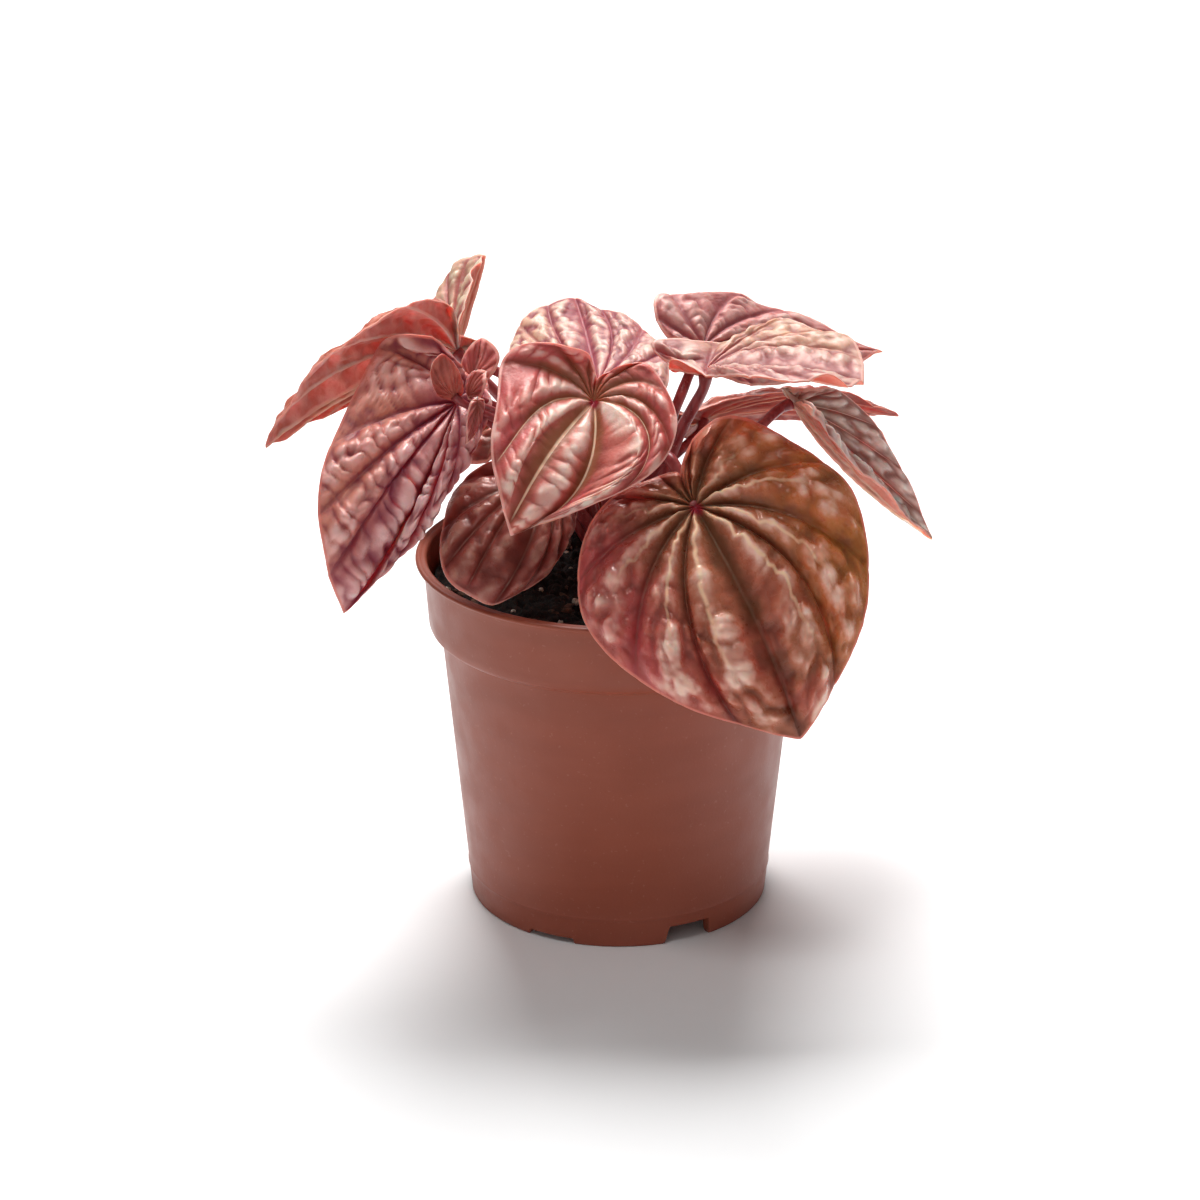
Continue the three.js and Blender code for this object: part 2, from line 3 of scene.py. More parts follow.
import bpy
import numpy as np
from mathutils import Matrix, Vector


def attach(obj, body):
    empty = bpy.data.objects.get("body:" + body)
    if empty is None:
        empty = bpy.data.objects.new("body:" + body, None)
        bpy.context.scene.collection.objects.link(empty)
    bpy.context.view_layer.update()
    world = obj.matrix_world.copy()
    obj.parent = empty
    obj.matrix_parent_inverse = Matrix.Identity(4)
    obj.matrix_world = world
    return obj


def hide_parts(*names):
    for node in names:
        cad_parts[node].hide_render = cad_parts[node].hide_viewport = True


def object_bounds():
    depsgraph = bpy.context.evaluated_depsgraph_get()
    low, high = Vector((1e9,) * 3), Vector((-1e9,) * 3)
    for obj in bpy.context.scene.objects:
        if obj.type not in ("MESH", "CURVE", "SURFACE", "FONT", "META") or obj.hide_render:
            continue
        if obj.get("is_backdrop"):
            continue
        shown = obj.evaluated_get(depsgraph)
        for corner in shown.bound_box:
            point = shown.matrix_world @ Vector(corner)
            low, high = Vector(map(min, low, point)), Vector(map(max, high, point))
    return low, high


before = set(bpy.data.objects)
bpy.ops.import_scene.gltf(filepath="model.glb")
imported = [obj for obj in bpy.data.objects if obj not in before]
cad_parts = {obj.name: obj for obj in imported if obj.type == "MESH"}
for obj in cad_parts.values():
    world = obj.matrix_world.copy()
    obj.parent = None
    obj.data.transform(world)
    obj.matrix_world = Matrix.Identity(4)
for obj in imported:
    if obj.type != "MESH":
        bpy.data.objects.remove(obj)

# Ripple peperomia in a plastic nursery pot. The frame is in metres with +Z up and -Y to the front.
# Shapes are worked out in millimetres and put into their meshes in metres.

cad_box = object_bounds()

# --------------------------------------------------
# Camera, light and floor. A long lens looks down from the front at a white sweep under a pale sky. A
# broad strong lamp stands behind and above, a small one over the front makes the glints on the leaves,
# and a weak broad one stands low at the front left.
# --------------------------------------------------

FRAME_PIXELS = 1200
FOCAL_PIXELS = 3865
SENSOR_MM = 36.0
LOOK_DOWN = math.radians(22.2)
CAMERA_DISTANCE = 1.0
AIM = (-0.00494, 0.0, 0.0806)
SKY_STRENGTH = 0.185
LAMP_AIM = (0.0, 0.0, 0.09)
FLOOR_HALF = 6.0


def put(name, data):
    """A new object that shows this data, linked into the scene."""
    thing = bpy.data.objects.new(name, data)
    bpy.context.scene.collection.objects.link(thing)
    return thing


camera_data = bpy.data.cameras.new("camera")
camera_data.sensor_width = SENSOR_MM
camera_data.lens = SENSOR_MM * FOCAL_PIXELS / FRAME_PIXELS
camera_data.clip_start = 0.05
camera_data.clip_end = 20.0
camera = put("camera", camera_data)
camera.location = (
    AIM[0],
    AIM[1] - CAMERA_DISTANCE * math.cos(LOOK_DOWN),
    AIM[2] + CAMERA_DISTANCE * math.sin(LOOK_DOWN),
)
camera.rotation_euler = (math.pi / 2 - LOOK_DOWN, 0, 0)
bpy.context.scene.camera = camera
bpy.context.scene.view_settings.view_transform = "Standard"

world = bpy.data.worlds.new("pale studio")
world.use_nodes = True
sky = world.node_tree.nodes["Background"]
sky.inputs["Color"].default_value = (1.0, 1.0, 1.0, 1.0)
sky.inputs["Strength"].default_value = SKY_STRENGTH
bpy.context.scene.world = world


def soft_lamp(name, place, size, power):
    """A square area lamp at a place in metres, turned to the middle of the plant."""
    data = bpy.data.lights.new(name, "AREA")
    data.shape = "SQUARE"
    data.size = size
    data.energy = power
    lamp = put(name, data)
    lamp.location = place
    aim = np.array(LAMP_AIM) - np.array(place)
    level = math.hypot(aim[0], aim[1])
    lamp.rotation_euler = (math.atan2(level, -aim[2]), 0, math.atan2(aim[1], aim[0]) - math.pi / 2)


soft_lamp("back_lamp", (-0.04, 0.6, 1.1), 0.66, 24.5)
soft_lamp("top_lamp", (-0.15, -0.45, 1.2), 0.28, 2.6)
soft_lamp("front_lamp", (-0.5, -1.5, 0.4), 0.9, 1.6)


floor_corners = [(FLOOR_HALF * x, FLOOR_HALF * y, 0) for x, y in ((-1, -1), (1, -1), (1, 1), (-1, 1))]
floor_mesh = bpy.data.meshes.new("studio_floor")
floor_mesh.from_pydata(floor_corners, [], [(0, 1, 2, 3)])
floor_finish = bpy.data.materials.new("white sweep")
floor_finish.use_nodes = True
floor_shader = floor_finish.node_tree.nodes["Principled BSDF"]
floor_shader.inputs["Base Color"].default_value = (0.93, 0.93, 0.93, 1.0)
floor_shader.inputs["Roughness"].default_value = 0.9
floor_shader.inputs["Specular IOR Level"].default_value = 0.1
floor_mesh.materials.append(floor_finish)
floor = put("studio_floor", floor_mesh)
floor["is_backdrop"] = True

# --------------------------------------------------
# The pot: one thin injection-moulded shell of satin terracotta brown plastic. It has a small rolled
# lip, a rim band, a tapered body and a raised floor with drain holes, and notches cut in its foot.
# --------------------------------------------------

MM = 0.001
BAND_FOOT = 75.2
BODY_FOOT_RADIUS = 38.9
BODY_TOP_RADIUS = 46.2
POT_WALL = 1.2
FLOOR_TOP = 6.6
FLOOR_THICKNESS = 1.4
DRAIN_REACH = 27
DRAIN_RADIUS = 3.2
POT_COLUMNS = 288
EDGE_LIFT = 0.02


def smooth(value, low, high):
    """Rises from 0 at low to 1 at high, level at both ends."""
    share = np.clip((value - low) / (high - low), 0, 1)
    return share * share * (3 - 2 * share)


def new_mesh(name, points, faces, rounded):
    """A mesh of points in millimetres, with each face shaded rounded or flat."""
    mesh = bpy.data.meshes.new(name)
    mesh.from_pydata((np.asarray(points) * MM).tolist(), [], faces)
    mesh.polygons.foreach_set("use_smooth", rounded)
    return mesh


def skin_mesh(name, rings, first_pole, last_pole, values=None, flat=None):
    """A closed skin over rings[i, j], point j of ring i, in millimetres, shut by a pole at each end.
    Neighbouring rings are joined by quads and each pole by a fan. values holds one number a vertex for
    each named attribute, in the order first pole, rings, last pole, and flat the same for the UV map."""
    count, columns = rings.shape[:2]
    points = np.vstack([[first_pole], rings.reshape(-1, 3), [last_pole]])
    here = np.arange(columns)
    onward = (here + 1) % columns
    row = (1 + columns * np.arange(count - 1))[:, None]
    quads = [row + here, row + onward, row + columns + onward, row + columns + here]
    quads = np.stack(quads, -1).reshape(-1, 4)
    last_row = 1 + columns * (count - 1)
    first_fan = np.stack([0 * here, 1 + onward, 1 + here], -1)
    last_fan = np.stack([0 * here + len(points) - 1, last_row + here, last_row + onward], -1)
    corners = np.vstack([first_fan, last_fan, quads[:, [0, 1, 2]], quads[:, [0, 2, 3]]])
    a, b, c = (points[corners[:, i]] for i in range(3))
    faces = first_fan.tolist() + last_fan.tolist() + quads.tolist()
    if np.einsum("ij,ij->i", a, np.cross(b, c)).sum() < 0:
        faces = [face[::-1] for face in faces]
    mesh = new_mesh(name, points, faces, np.ones(len(faces), bool))
    for key, numbers in (values or {}).items():
        attribute = mesh.attributes.new(key, "FLOAT", "POINT")
        attribute.data.foreach_set("value", np.asarray(numbers, np.float32))
    if flat is not None:
        corner_vertex = np.zeros(len(mesh.loops), np.int32)
        mesh.loops.foreach_get("vertex_index", corner_vertex)
        layer = mesh.uv_layers.new(name="flat")
        layer.data.foreach_set("uv", np.asarray(flat, np.float32)[corner_vertex].ravel())
    mesh.update()
    return mesh


def piece(name, mesh, material, slot, *nodes):
    """Puts a mesh into the scene as a piece of the plant that rides on the root body."""
    mesh.materials.append(material)
    thing = put(name, mesh)
    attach(thing, "root")
    if nodes:
        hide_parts(*nodes)


def body_radius(z):
    """Outer radius of the tapered body at a height."""
    return BODY_FOOT_RADIUS + (BODY_TOP_RADIUS - BODY_FOOT_RADIUS) * np.asarray(z) / BAND_FOOT


def foot_height(angle):
    """Height of the foot's edge over the ground, at an angle in degrees from the front towards +X.
    Each third of the ring has one deep notch with a slanted near side, and one shallow notch."""
    third = (angle + 60) % 120 - 60
    deep = 5.0 * smooth(third, 17.2, 19.6) * (1 - smooth(third, 36.2, 36.9))
    shallow = 1.6 * smooth(third, -36.9, -36.2) * (1 - smooth(third, -17.8, -17.1))
    return deep + shallow


outside = [(body_radius(z), z) for z in (0.35, 0.9, 1.8, 3.0, 4.2, 5.4, 6.4, 7.3)]
outside += [(body_radius(z) + proud, z) for z, proud in ((7.7, 0.12), (8.0, 0.2), (8.3, 0.12))]
outside += [(body_radius(z), z) for z in (8.8, 12, 24, 36, 48, 60, 70, 73.6)]
outside += [(46.2, 74.2), (46.35, 74.55), (46.75, 74.75), (47.6, 74.8), (48.35, 75.0), (48.9, 75.5)]
outside += [(49.2, 76.2), (49.35, 78.0), (49.65, 82.0), (49.95, 86.0), (50.3, 90.0), (50.5, 92.2)]
outside += [(50.65, 92.6), (51.1, 92.75), (51.9, 92.8), (52.3, 92.95), (52.48, 93.25), (52.45, 93.6)]
outside += [(52.2, 93.85), (51.8, 93.98)]
inside = [(51.2, 94.0), (50.9, 93.85), (50.6, 93.95), (50.1, 93.98), (49.75, 93.8), (49.5, 93.3)]
inside += [(49.35, 92.0), (49.0, 88.0), (48.5, 82.0), (48.1, 78.0), (47.7, 76.6), (46.2, 75.6)]
inside += [(45.2, 75.0), (44.9, 73.0)]
inside += [(body_radius(z) - POT_WALL, z) for z in (60, 40, 20, 10, FLOOR_TOP)]
foot_rows = [(2.2, FLOOR_TOP - FLOOR_THICKNESS), (2.0, 4.4), (1.95, 2.2), (1.9, 0.35), (1.6, 0.0)]
under = [(BODY_FOOT_RADIUS - walls * POT_WALL, z) for walls, z in foot_rows]
under += [(BODY_FOOT_RADIUS - 0.35, 0.0)]

notch_edges = (16.9, 17.6, 18.2, 18.8, 19.4, 36.1, 36.4, 36.7, 37.0)
notch_edges += (-37.0, -36.7, -36.4, -36.1, -17.9, -17.6, -17.3, -17.0)
pot_angles = np.arange(POT_COLUMNS) * 360 / POT_COLUMNS
notch_angles = np.array([120 * third + edge for third in range(3) for edge in notch_edges]) % 360
pot_angles = np.unique(np.round(np.concatenate([pot_angles, notch_angles]), 3))


def round_axis(radius, turn, height):
    """Rings round the upright axis, at these radii, turns from the front towards +X, and heights."""
    rings = radius * np.sin(turn), -radius * np.cos(turn), height
    return np.stack(np.broadcast_arrays(*rings), -1)


def pot_wall_skin():
    """The wall as a loop of its profile carried round the axis. Near the foot each height is lifted to
    the foot's edge, and the radius follows the body's taper there."""
    profile = np.array(outside + inside + under)
    radius = np.repeat(profile[:, :1], len(pot_angles), 1)
    height = np.repeat(profile[:, 1:], len(pot_angles), 1)
    edge = foot_height(pot_angles)[None, :]
    outer, tail = slice(0, len(outside)), slice(len(outside) + len(inside), None)
    lifted = np.maximum(height[outer], edge + EDGE_LIFT * np.arange(len(outside))[:, None])
    radius[outer] += body_radius(lifted) - body_radius(height[outer])
    height[outer] = lifted
    height[tail] = np.maximum(height[tail], edge)
    return round_axis(radius, np.radians(pot_angles)[None, :], height)


def loop_faces(count, columns):
    """Quads that join rings into a tube that closes on itself both ways."""
    ring = np.arange(count)[:, None]
    here = np.arange(columns)[None, :]
    up, on = (ring + 1) % count, (here + 1) % columns
    quads = [ring * columns + here, ring * columns + on, up * columns + on, up * columns + here]
    return np.stack(np.broadcast_arrays(*quads), -1).reshape(-1, 4)


def pot_floor_plate():
    """The floor as a flat disc with a ring of round drain holes, with its thickness given by a curve."""
    curve = bpy.data.curves.new("pot_floor", "CURVE")
    curve.dimensions = "2D"
    curve.fill_mode = "BOTH"
    curve.extrude = FLOOR_THICKNESS / 2
    circles = [(0.0, 0.0, BODY_FOOT_RADIUS - 1.9 * POT_WALL, 120)]
    for turn in np.radians(np.arange(0, 360, 60)):
        circles.append((DRAIN_REACH * math.sin(turn), -DRAIN_REACH * math.cos(turn), DRAIN_RADIUS, 40))
    for x, y, radius, sides in circles:
        spline = curve.splines.new("POLY")
        spline.points.add(sides - 1)
        around = 2 * np.pi * np.arange(sides) / sides
        rim = [x + radius * np.cos(around), y + radius * np.sin(around), 0 * around, 1 + 0 * around]
        spline.points.foreach_set("co", np.stack(rim, -1).ravel())
        spline.use_cyclic_u = True
    plate = put("pot_floor", curve)
    bpy.context.view_layer.update()
    mesh = bpy.data.meshes.new_from_object(plate.evaluated_get(bpy.context.evaluated_depsgraph_get()))
    points = np.array([v.co for v in mesh.vertices]) + [0, 0, FLOOR_TOP - FLOOR_THICKNESS / 2]
    faces = [list(p.vertices) for p in mesh.polygons]
    bpy.data.objects.remove(plate)
    return points, faces


wall_points = pot_wall_skin()
wall_faces = loop_faces(*wall_points.shape[:2])
plate_points, plate_faces = pot_floor_plate()
pot_points = np.vstack([wall_points.reshape(-1, 3), plate_points])
pot_faces = [face[::-1] for face in wall_faces.tolist()]
pot_faces += [[i + wall_points[..., 0].size for i in face] for face in plate_faces]
pot_rounded = np.arange(len(pot_faces)) < len(wall_faces)


def tint(code):
    """Linear colour, with full cover, of an ordinary hex colour code."""
    values = [int(code[i : i + 2], 16) / 255 for i in (0, 2, 4)]
    return (*(v / 12.92 if v <= 0.04045 else ((v + 0.055) / 1.055) ** 2.4 for v in values), 1.0)


class Finish:
    """A material with one Principled shader. Its methods add the nodes that vary it over a surface, and
    take numbers, colours or other nodes' outputs."""

    def __init__(self, name, colour, roughness, specular=0.5):
        self.material = bpy.data.materials.new(name)
        self.material.use_nodes = True
        self.shader = self.material.node_tree.nodes["Principled BSDF"]
        self.give("Base Color", colour)
        self.give("Roughness", roughness)
        self.give("Specular IOR Level", specular)

    def feed(self, node, inputs):
        """Gives a node's inputs their values, or links them to other nodes' outputs."""
        for key, value in inputs.items():
            if isinstance(value, bpy.types.NodeSocket):
                self.material.node_tree.links.new(value, node.inputs[key])
            else:
                node.inputs[key].default_value = value

    def give(self, key, value):
        """Sets or links one input of the shader itself."""
        self.feed(self.shader, {key: value})

    def node(self, kind, inputs, output=0, **settings):
        """An output of a new node with these settings and inputs."""
        node = self.material.node_tree.nodes.new(kind)
        for key, value in settings.items():
            setattr(node, key, value)
        self.feed(node, inputs)
        return node.outputs[output]

    def place(self, squeeze=None):
        """The place on the piece in metres, for a pattern that may be squeezed along each axis."""
        place = self.node("ShaderNodeTexCoord", {}, "Object")
        return self.node("ShaderNodeMapping", {"Vector": place, "Scale": squeeze}) if squeeze else place

    def noise(self, place, scale, detail=3.0, roughness=0.55):
        """A noise pattern from 0 to 1."""
        inputs = {"Vector": place, "Scale": scale, "Detail": detail, "Roughness": roughness}
        return self.node("ShaderNodeTexNoise", inputs, "Fac")

    def ramp(self, value, low, high, bottom=0.0, top=1.0):
        """A smooth step of a value between low and high, given between bottom and top."""
        inputs = {"Value": value, "From Min": low, "From Max": high, "To Min": bottom, "To Max": top}
        return self.node("ShaderNodeMapRange", inputs, "Result", interpolation_type="SMOOTHSTEP")

    def combine(self, operation, first, second=0.0):
        """A sum, product or other working of two values."""
        return self.node("ShaderNodeMath", {0: first, 1: second}, operation=operation)

    def times(self, first, second):
        """The product of two values."""
        return self.combine("MULTIPLY", first, second)

    def layers(self, colour, *coats):
        """A colour with coats laid over it in turn, each with its share. Hex codes do as colours."""
        for share, coat in coats:
            first, second = (tint(c) if isinstance(c, str) else c for c in (colour, coat))
            colour = self.node("ShaderNodeMix", {0: share, 6: first, 7: second}, 2, data_type="RGBA")
        return colour

    def bump(self, height, depth, strength=1.0):
        """Gives the surface the relief of a height pattern this deep in metres."""
        inputs = {"Height": height, "Distance": depth, "Strength": strength}
        self.give("Normal", self.node("ShaderNodeBump", inputs))


def satin_plastic():
    """Terracotta brown plastic: faint flow marks round the wall, a fine orange peel and a soft sheen."""
    skin = Finish("terracotta brown plastic", tint("8c4a38"), 0.4, 0.4)
    place = skin.place()
    flow = skin.ramp(skin.noise(skin.place((1.0, 1.0, 5.0)), 22.0, 4.0), 0.35, 0.7)
    cloud = skin.times(skin.ramp(skin.noise(place, 38.0, 2.0), 0.35, 0.7), 0.35)
    dust = skin.times(skin.ramp(skin.noise(place, 900.0, 2.0), 0.66, 0.72), 0.3)
    skin.give("Base Color", skin.layers("924630", (flow, "984a34"), (cloud, "9e523c"), (dust, "b4705c")))
    skin.give("Roughness", skin.ramp(skin.noise(place, 130.0), 0.3, 0.7, 0.36, 0.47))
    skin.bump(skin.noise(place, 1400.0, 2.0), 0.00006, 0.5)
    return skin.material


pot_mesh = new_mesh("pot_shell", pot_points, pot_faces, pot_rounded)
piece("pot_shell", pot_mesh, satin_plastic(), "pot_plastic", "pot")

# --------------------------------------------------
# The soil: a plug of moist peat and bark mix that fills the pot to just under its lip. White perlite
# grains and bark chips lie in its crumbly top.
# --------------------------------------------------

SOIL_TOP = 87.0
SOIL_BOTTOM = 7.0
SOIL_RADIUS = 47.6
SOIL_COLUMNS = 300
SOIL_RINGS = 112
SOIL_MIDDLE = 0.012
STREWN_REACH = (9.0, 46.0)
PERLITE_GRAINS = 70
BARK_CHIPS = 90
CHIP_SHAPE = np.array([[1.5, 0.55, 0.3]])
GRID = 64
GRID_SHIFT = 500
rng = np.random.default_rng(7)


def grid_cells(x, y, size):
    """Places counted in cells of a grid of this size, and the whole numbers of their cells."""
    gx, gy = x / size + GRID_SHIFT, y / size + GRID_SHIFT
    return gx, gy, np.floor(gx).astype(int), np.floor(gy).astype(int)


def value_noise(x, y, size, seed):
    """Smooth random height from -1 to 1: random numbers on a grid of this size, eased in between."""
    table = np.random.default_rng(seed).uniform(-1, 1, (GRID, GRID))
    gx, gy, ix, iy = grid_cells(x, y, size)
    fx, fy = smooth(gx - ix, 0, 1), smooth(gy - iy, 0, 1)
    corner = lambda a, b: table[(ix + a) % GRID, (iy + b) % GRID]
    low = corner(0, 0) * (1 - fx) + corner(1, 0) * fx
    high = corner(0, 1) * (1 - fx) + corner(1, 1) * fx
    return low * (1 - fy) + high * fy


def cells_around(x, y, size, seed, low, high, count):
    """The nine grid cells around each place, one after the other: how far the place lies from the cell's
    corner, counted in cells, and the cell's own random numbers, this many from low to high."""
    table = np.random.default_rng(seed).uniform(low, high, (count, GRID, GRID))
    gx, gy, ix, iy = grid_cells(x, y, size)
    for dx in (-1, 0, 1):
        for dy in (-1, 0, 1):
            cx, cy = ix + dx, iy + dy
            yield gx - cx, gy - cy, table[:, cx % GRID, cy % GRID]


def pebbles(x, y, size, seed):
    """Round-topped cells with creases between them: a grid of strewn points gives each place its nearest
    and second nearest point, and the height rises with the difference of those two distances."""
    first = second = np.full(x.shape, np.inf)
    for from_x, from_y, (point_x, point_y) in cells_around(x, y, size, seed, 0.1, 0.9, 2):
        far = np.hypot(from_x - point_x, from_y - point_y)
        second = np.minimum(second, np.maximum(first, far))
        first = np.minimum(first, far)
    climb = np.clip((second - first) / 0.55, 0, 1)
    return climb * (2 - climb)


def soil_height(x, y):
    """The top of the soil: broad swells, clods and crumbs, a little higher round the crown."""
    broad = 0.9 * (np.sin(0.31 * x + 1.2) * np.cos(0.27 * y) + 0.6 * np.sin(0.62 * y - 0.43 * x + 0.5))
    clods = 1.3 * pebbles(x, y, 6.5, 3) + 0.7 * pebbles(x + 40, y, 3.1, 4)
    crumbs = 0.45 * pebbles(x, y + 30, 1.5, 5) + 0.35 * value_noise(x, y, 1.1, 6)
    return SOIL_TOP - 1.2 + 0.8 * broad + clods + crumbs


soil_turns = np.linspace(0, 2 * np.pi, SOIL_COLUMNS, endpoint=False)[None, :]
soil_reach = (np.linspace(SOIL_MIDDLE, 1, SOIL_RINGS) * SOIL_RADIUS)[:, None]
soil_level = soil_height(soil_reach * np.sin(soil_turns), -soil_reach * np.cos(soil_turns))
soil_side = np.array([(47.5, 80.0), (46.0, 76.5), (44.5, 74.5), (40.5, 30.0), (38.0, 7.2), (20.0, 7.0)])
soil_side = round_axis(soil_side[:, :1], soil_turns, soil_side[:, 1:])
soil_rings = np.vstack([round_axis(soil_reach, soil_turns, soil_level), soil_side])


def peat():
    """Near-black moist peat, with browner crumbs and a dull surface."""
    skin = Finish("moist peat", tint("120c09"), 0.9, 0.25)
    place = skin.place()
    crumb = skin.ramp(skin.noise(place, 620.0, 4.0), 0.45, 0.75)
    speck = skin.times(skin.ramp(skin.noise(place, 1500.0, 2.0), 0.62, 0.7), 0.5)
    skin.give("Base Color", skin.layers("0c0806", (crumb, "24170f"), (speck, "4a3524")))
    skin.bump(skin.noise(place, 1800.0), 0.0004, 0.8)
    return skin.material


soil_mesh = skin_mesh("soil_plug", soil_rings, (0, 0, float(soil_level[0].mean())), (0, 0, SOIL_BOTTOM))
piece("soil_plug", soil_mesh, peat(), "soil_mix", "soil")


def strewn(count, seed, sink):
    """Random places on the soil between the crown and the wall, sunk a little into it."""
    chance = np.random.default_rng(seed)
    reach = np.sqrt(chance.uniform(STREWN_REACH[0] ** 2, STREWN_REACH[1] ** 2, count))
    turn = chance.uniform(0, 2 * np.pi, count)
    x, y = reach * np.sin(turn), -reach * np.cos(turn)
    return np.stack([x, y, soil_height(x, y) - sink], -1)


def scatter(name, centres, sizes, seed, roughness=0.22):
    """Small closed lumps, one at each centre: a coarse ball stretched to its sizes, turned and dented."""
    chance = np.random.default_rng(seed)
    rows, columns = 5, 8
    polar = (np.arange(1, rows + 1) * np.pi / (rows + 1))[:, None]
    around = (np.arange(columns) * 2 * np.pi / columns)[None, :]
    ball = [np.sin(polar) * np.cos(around), np.sin(polar) * np.sin(around), np.cos(polar) + 0 * around]
    ball = np.vstack([[[0, 0, 1]], np.stack(ball, -1).reshape(-1, 3), [[0, 0, -1]]])
    lumps = np.repeat(ball[None], len(centres), 0)
    lumps = lumps * (1 + chance.uniform(-roughness, roughness, lumps.shape[:2]))[..., None]
    lumps = lumps * np.asarray(sizes)[:, None, :]
    angles = chance.uniform(0, 2 * np.pi, (len(centres), 2))
    spin, tip = angles[:, :1], 0.5 * np.sin(angles[:, 1:])
    x = lumps[..., 0] * np.cos(spin) - lumps[..., 1] * np.sin(spin)
    y = lumps[..., 0] * np.sin(spin) + lumps[..., 1] * np.cos(spin)
    z = lumps[..., 2] * np.cos(tip) + x * np.sin(tip)
    x = x * np.cos(tip) - lumps[..., 2] * np.sin(tip)
    points = (np.stack([x, y, z], -1) + np.asarray(centres)[:, None, :]).reshape(-1, 3)
    sides = [(a, (a + 1) % columns) for a in range(columns)]
    last_row, last_pole = 1 + columns * (rows - 1), 1 + columns * rows
    faces = [(0, 1 + a, 1 + b) for a, b in sides]
    faces += [(last_pole, last_row + b, last_row + a) for a, b in sides]
    for row in range(1, last_row, columns):
        faces += [(row + a, row + columns + a, row + columns + b, row + b) for a, b in sides]
    faces = [[i + lump * len(ball) for i in face] for lump in range(len(centres)) for face in faces]
    return new_mesh(name, points, faces, np.zeros(len(faces), bool))


def loose_finish(name, colour, pattern, step, shades, texture, depth):
    """A dull finish of two shades in a pattern, with a fine relief this deep in metres."""
    skin = Finish(name, tint(colour), 0.85, 0.3)
    place = skin.place()
    share = skin.ramp(skin.noise(place, *pattern), *step)
    skin.give("Base Color", skin.layers(shades[0], (share, shades[1])))
    skin.bump(skin.noise(place, texture), depth)
    return skin.material


perlite_sizes = rng.uniform(0.35, 1.15, (PERLITE_GRAINS, 1)) * rng.uniform(0.75, 1.2, (PERLITE_GRAINS, 3))
perlite_mesh = scatter("perlite_grains", strewn(PERLITE_GRAINS, 21, 0.1), perlite_sizes, 22)
perlite = loose_finish(
    "expanded perlite", "c9c3b4", (700.0, 3.0), (0.4, 0.7), ("d6d1c4", "8d8473"), 2600.0, 0.0003
)
piece("perlite_grains", perlite_mesh, perlite, "soil_mix")

chip_sizes = rng.uniform(0.9, 2.2, (BARK_CHIPS, 1)) * CHIP_SHAPE * rng.uniform(0.7, 1.3, (BARK_CHIPS, 3))
chip_mesh = scatter("bark_chips", strewn(BARK_CHIPS, 31, 0.0), chip_sizes, 32, 0.3)
bark = loose_finish("bark chips", "3a281b", (480.0, 4.0), (0.35, 0.7), ("21160f", "5a4130"), 1700.0, 0.0004)
piece("bark_chips", chip_mesh, bark, "soil_mix")

# --------------------------------------------------
# The leaves: each has a place in space that its blade and its petiole share. Six points hold a blade:
# heel, base, mid and tip along its midrib, and the widest points of its right and left halves.
# --------------------------------------------------

# lobe, breadth, taper and bow are for the right and the left half. ripple times boost is the height of
# the ribs in mm and steep how fast they reach it, frill the height of the margin's waves, groove the
# depth of the veins and girth the radius of the stalk. fine gives the rows and the columns between two
# veins, and under_step how many of the rows one row of the underside spans. cell is the length of a
# fold, pebble and stretch the size and length of a puff, wander the swing of a crest and sweep that of
# the veins. The others are shares.
USUAL_LEAF = dict(
    lobe=(0.2, 0.2), breadth=(1, 1), taper=(0, 0), bow=(1.5, 1.5), ripple=1.6, frill=0.5, girth=1.5,
    fine=(76, 16), under_step=3, cell=5, depth=0.3, slant=0.5, wander=0.5, crest=0.4, pebble=4.5,
    stretch=1.25, strewn=0.6, fold_end=0.45, steep=0.42, groove=0.2, boost=1.3, alone=0, small=0, sweep=1,
)
YOUNG = dict(frill=0, fine=(34, 8), cell=3, pebble=2.5, strewn=0.3, groove=0.05, boost=0.9)
HIDDEN = dict(look="dusk", fine=(44, 10), depth=0.45)
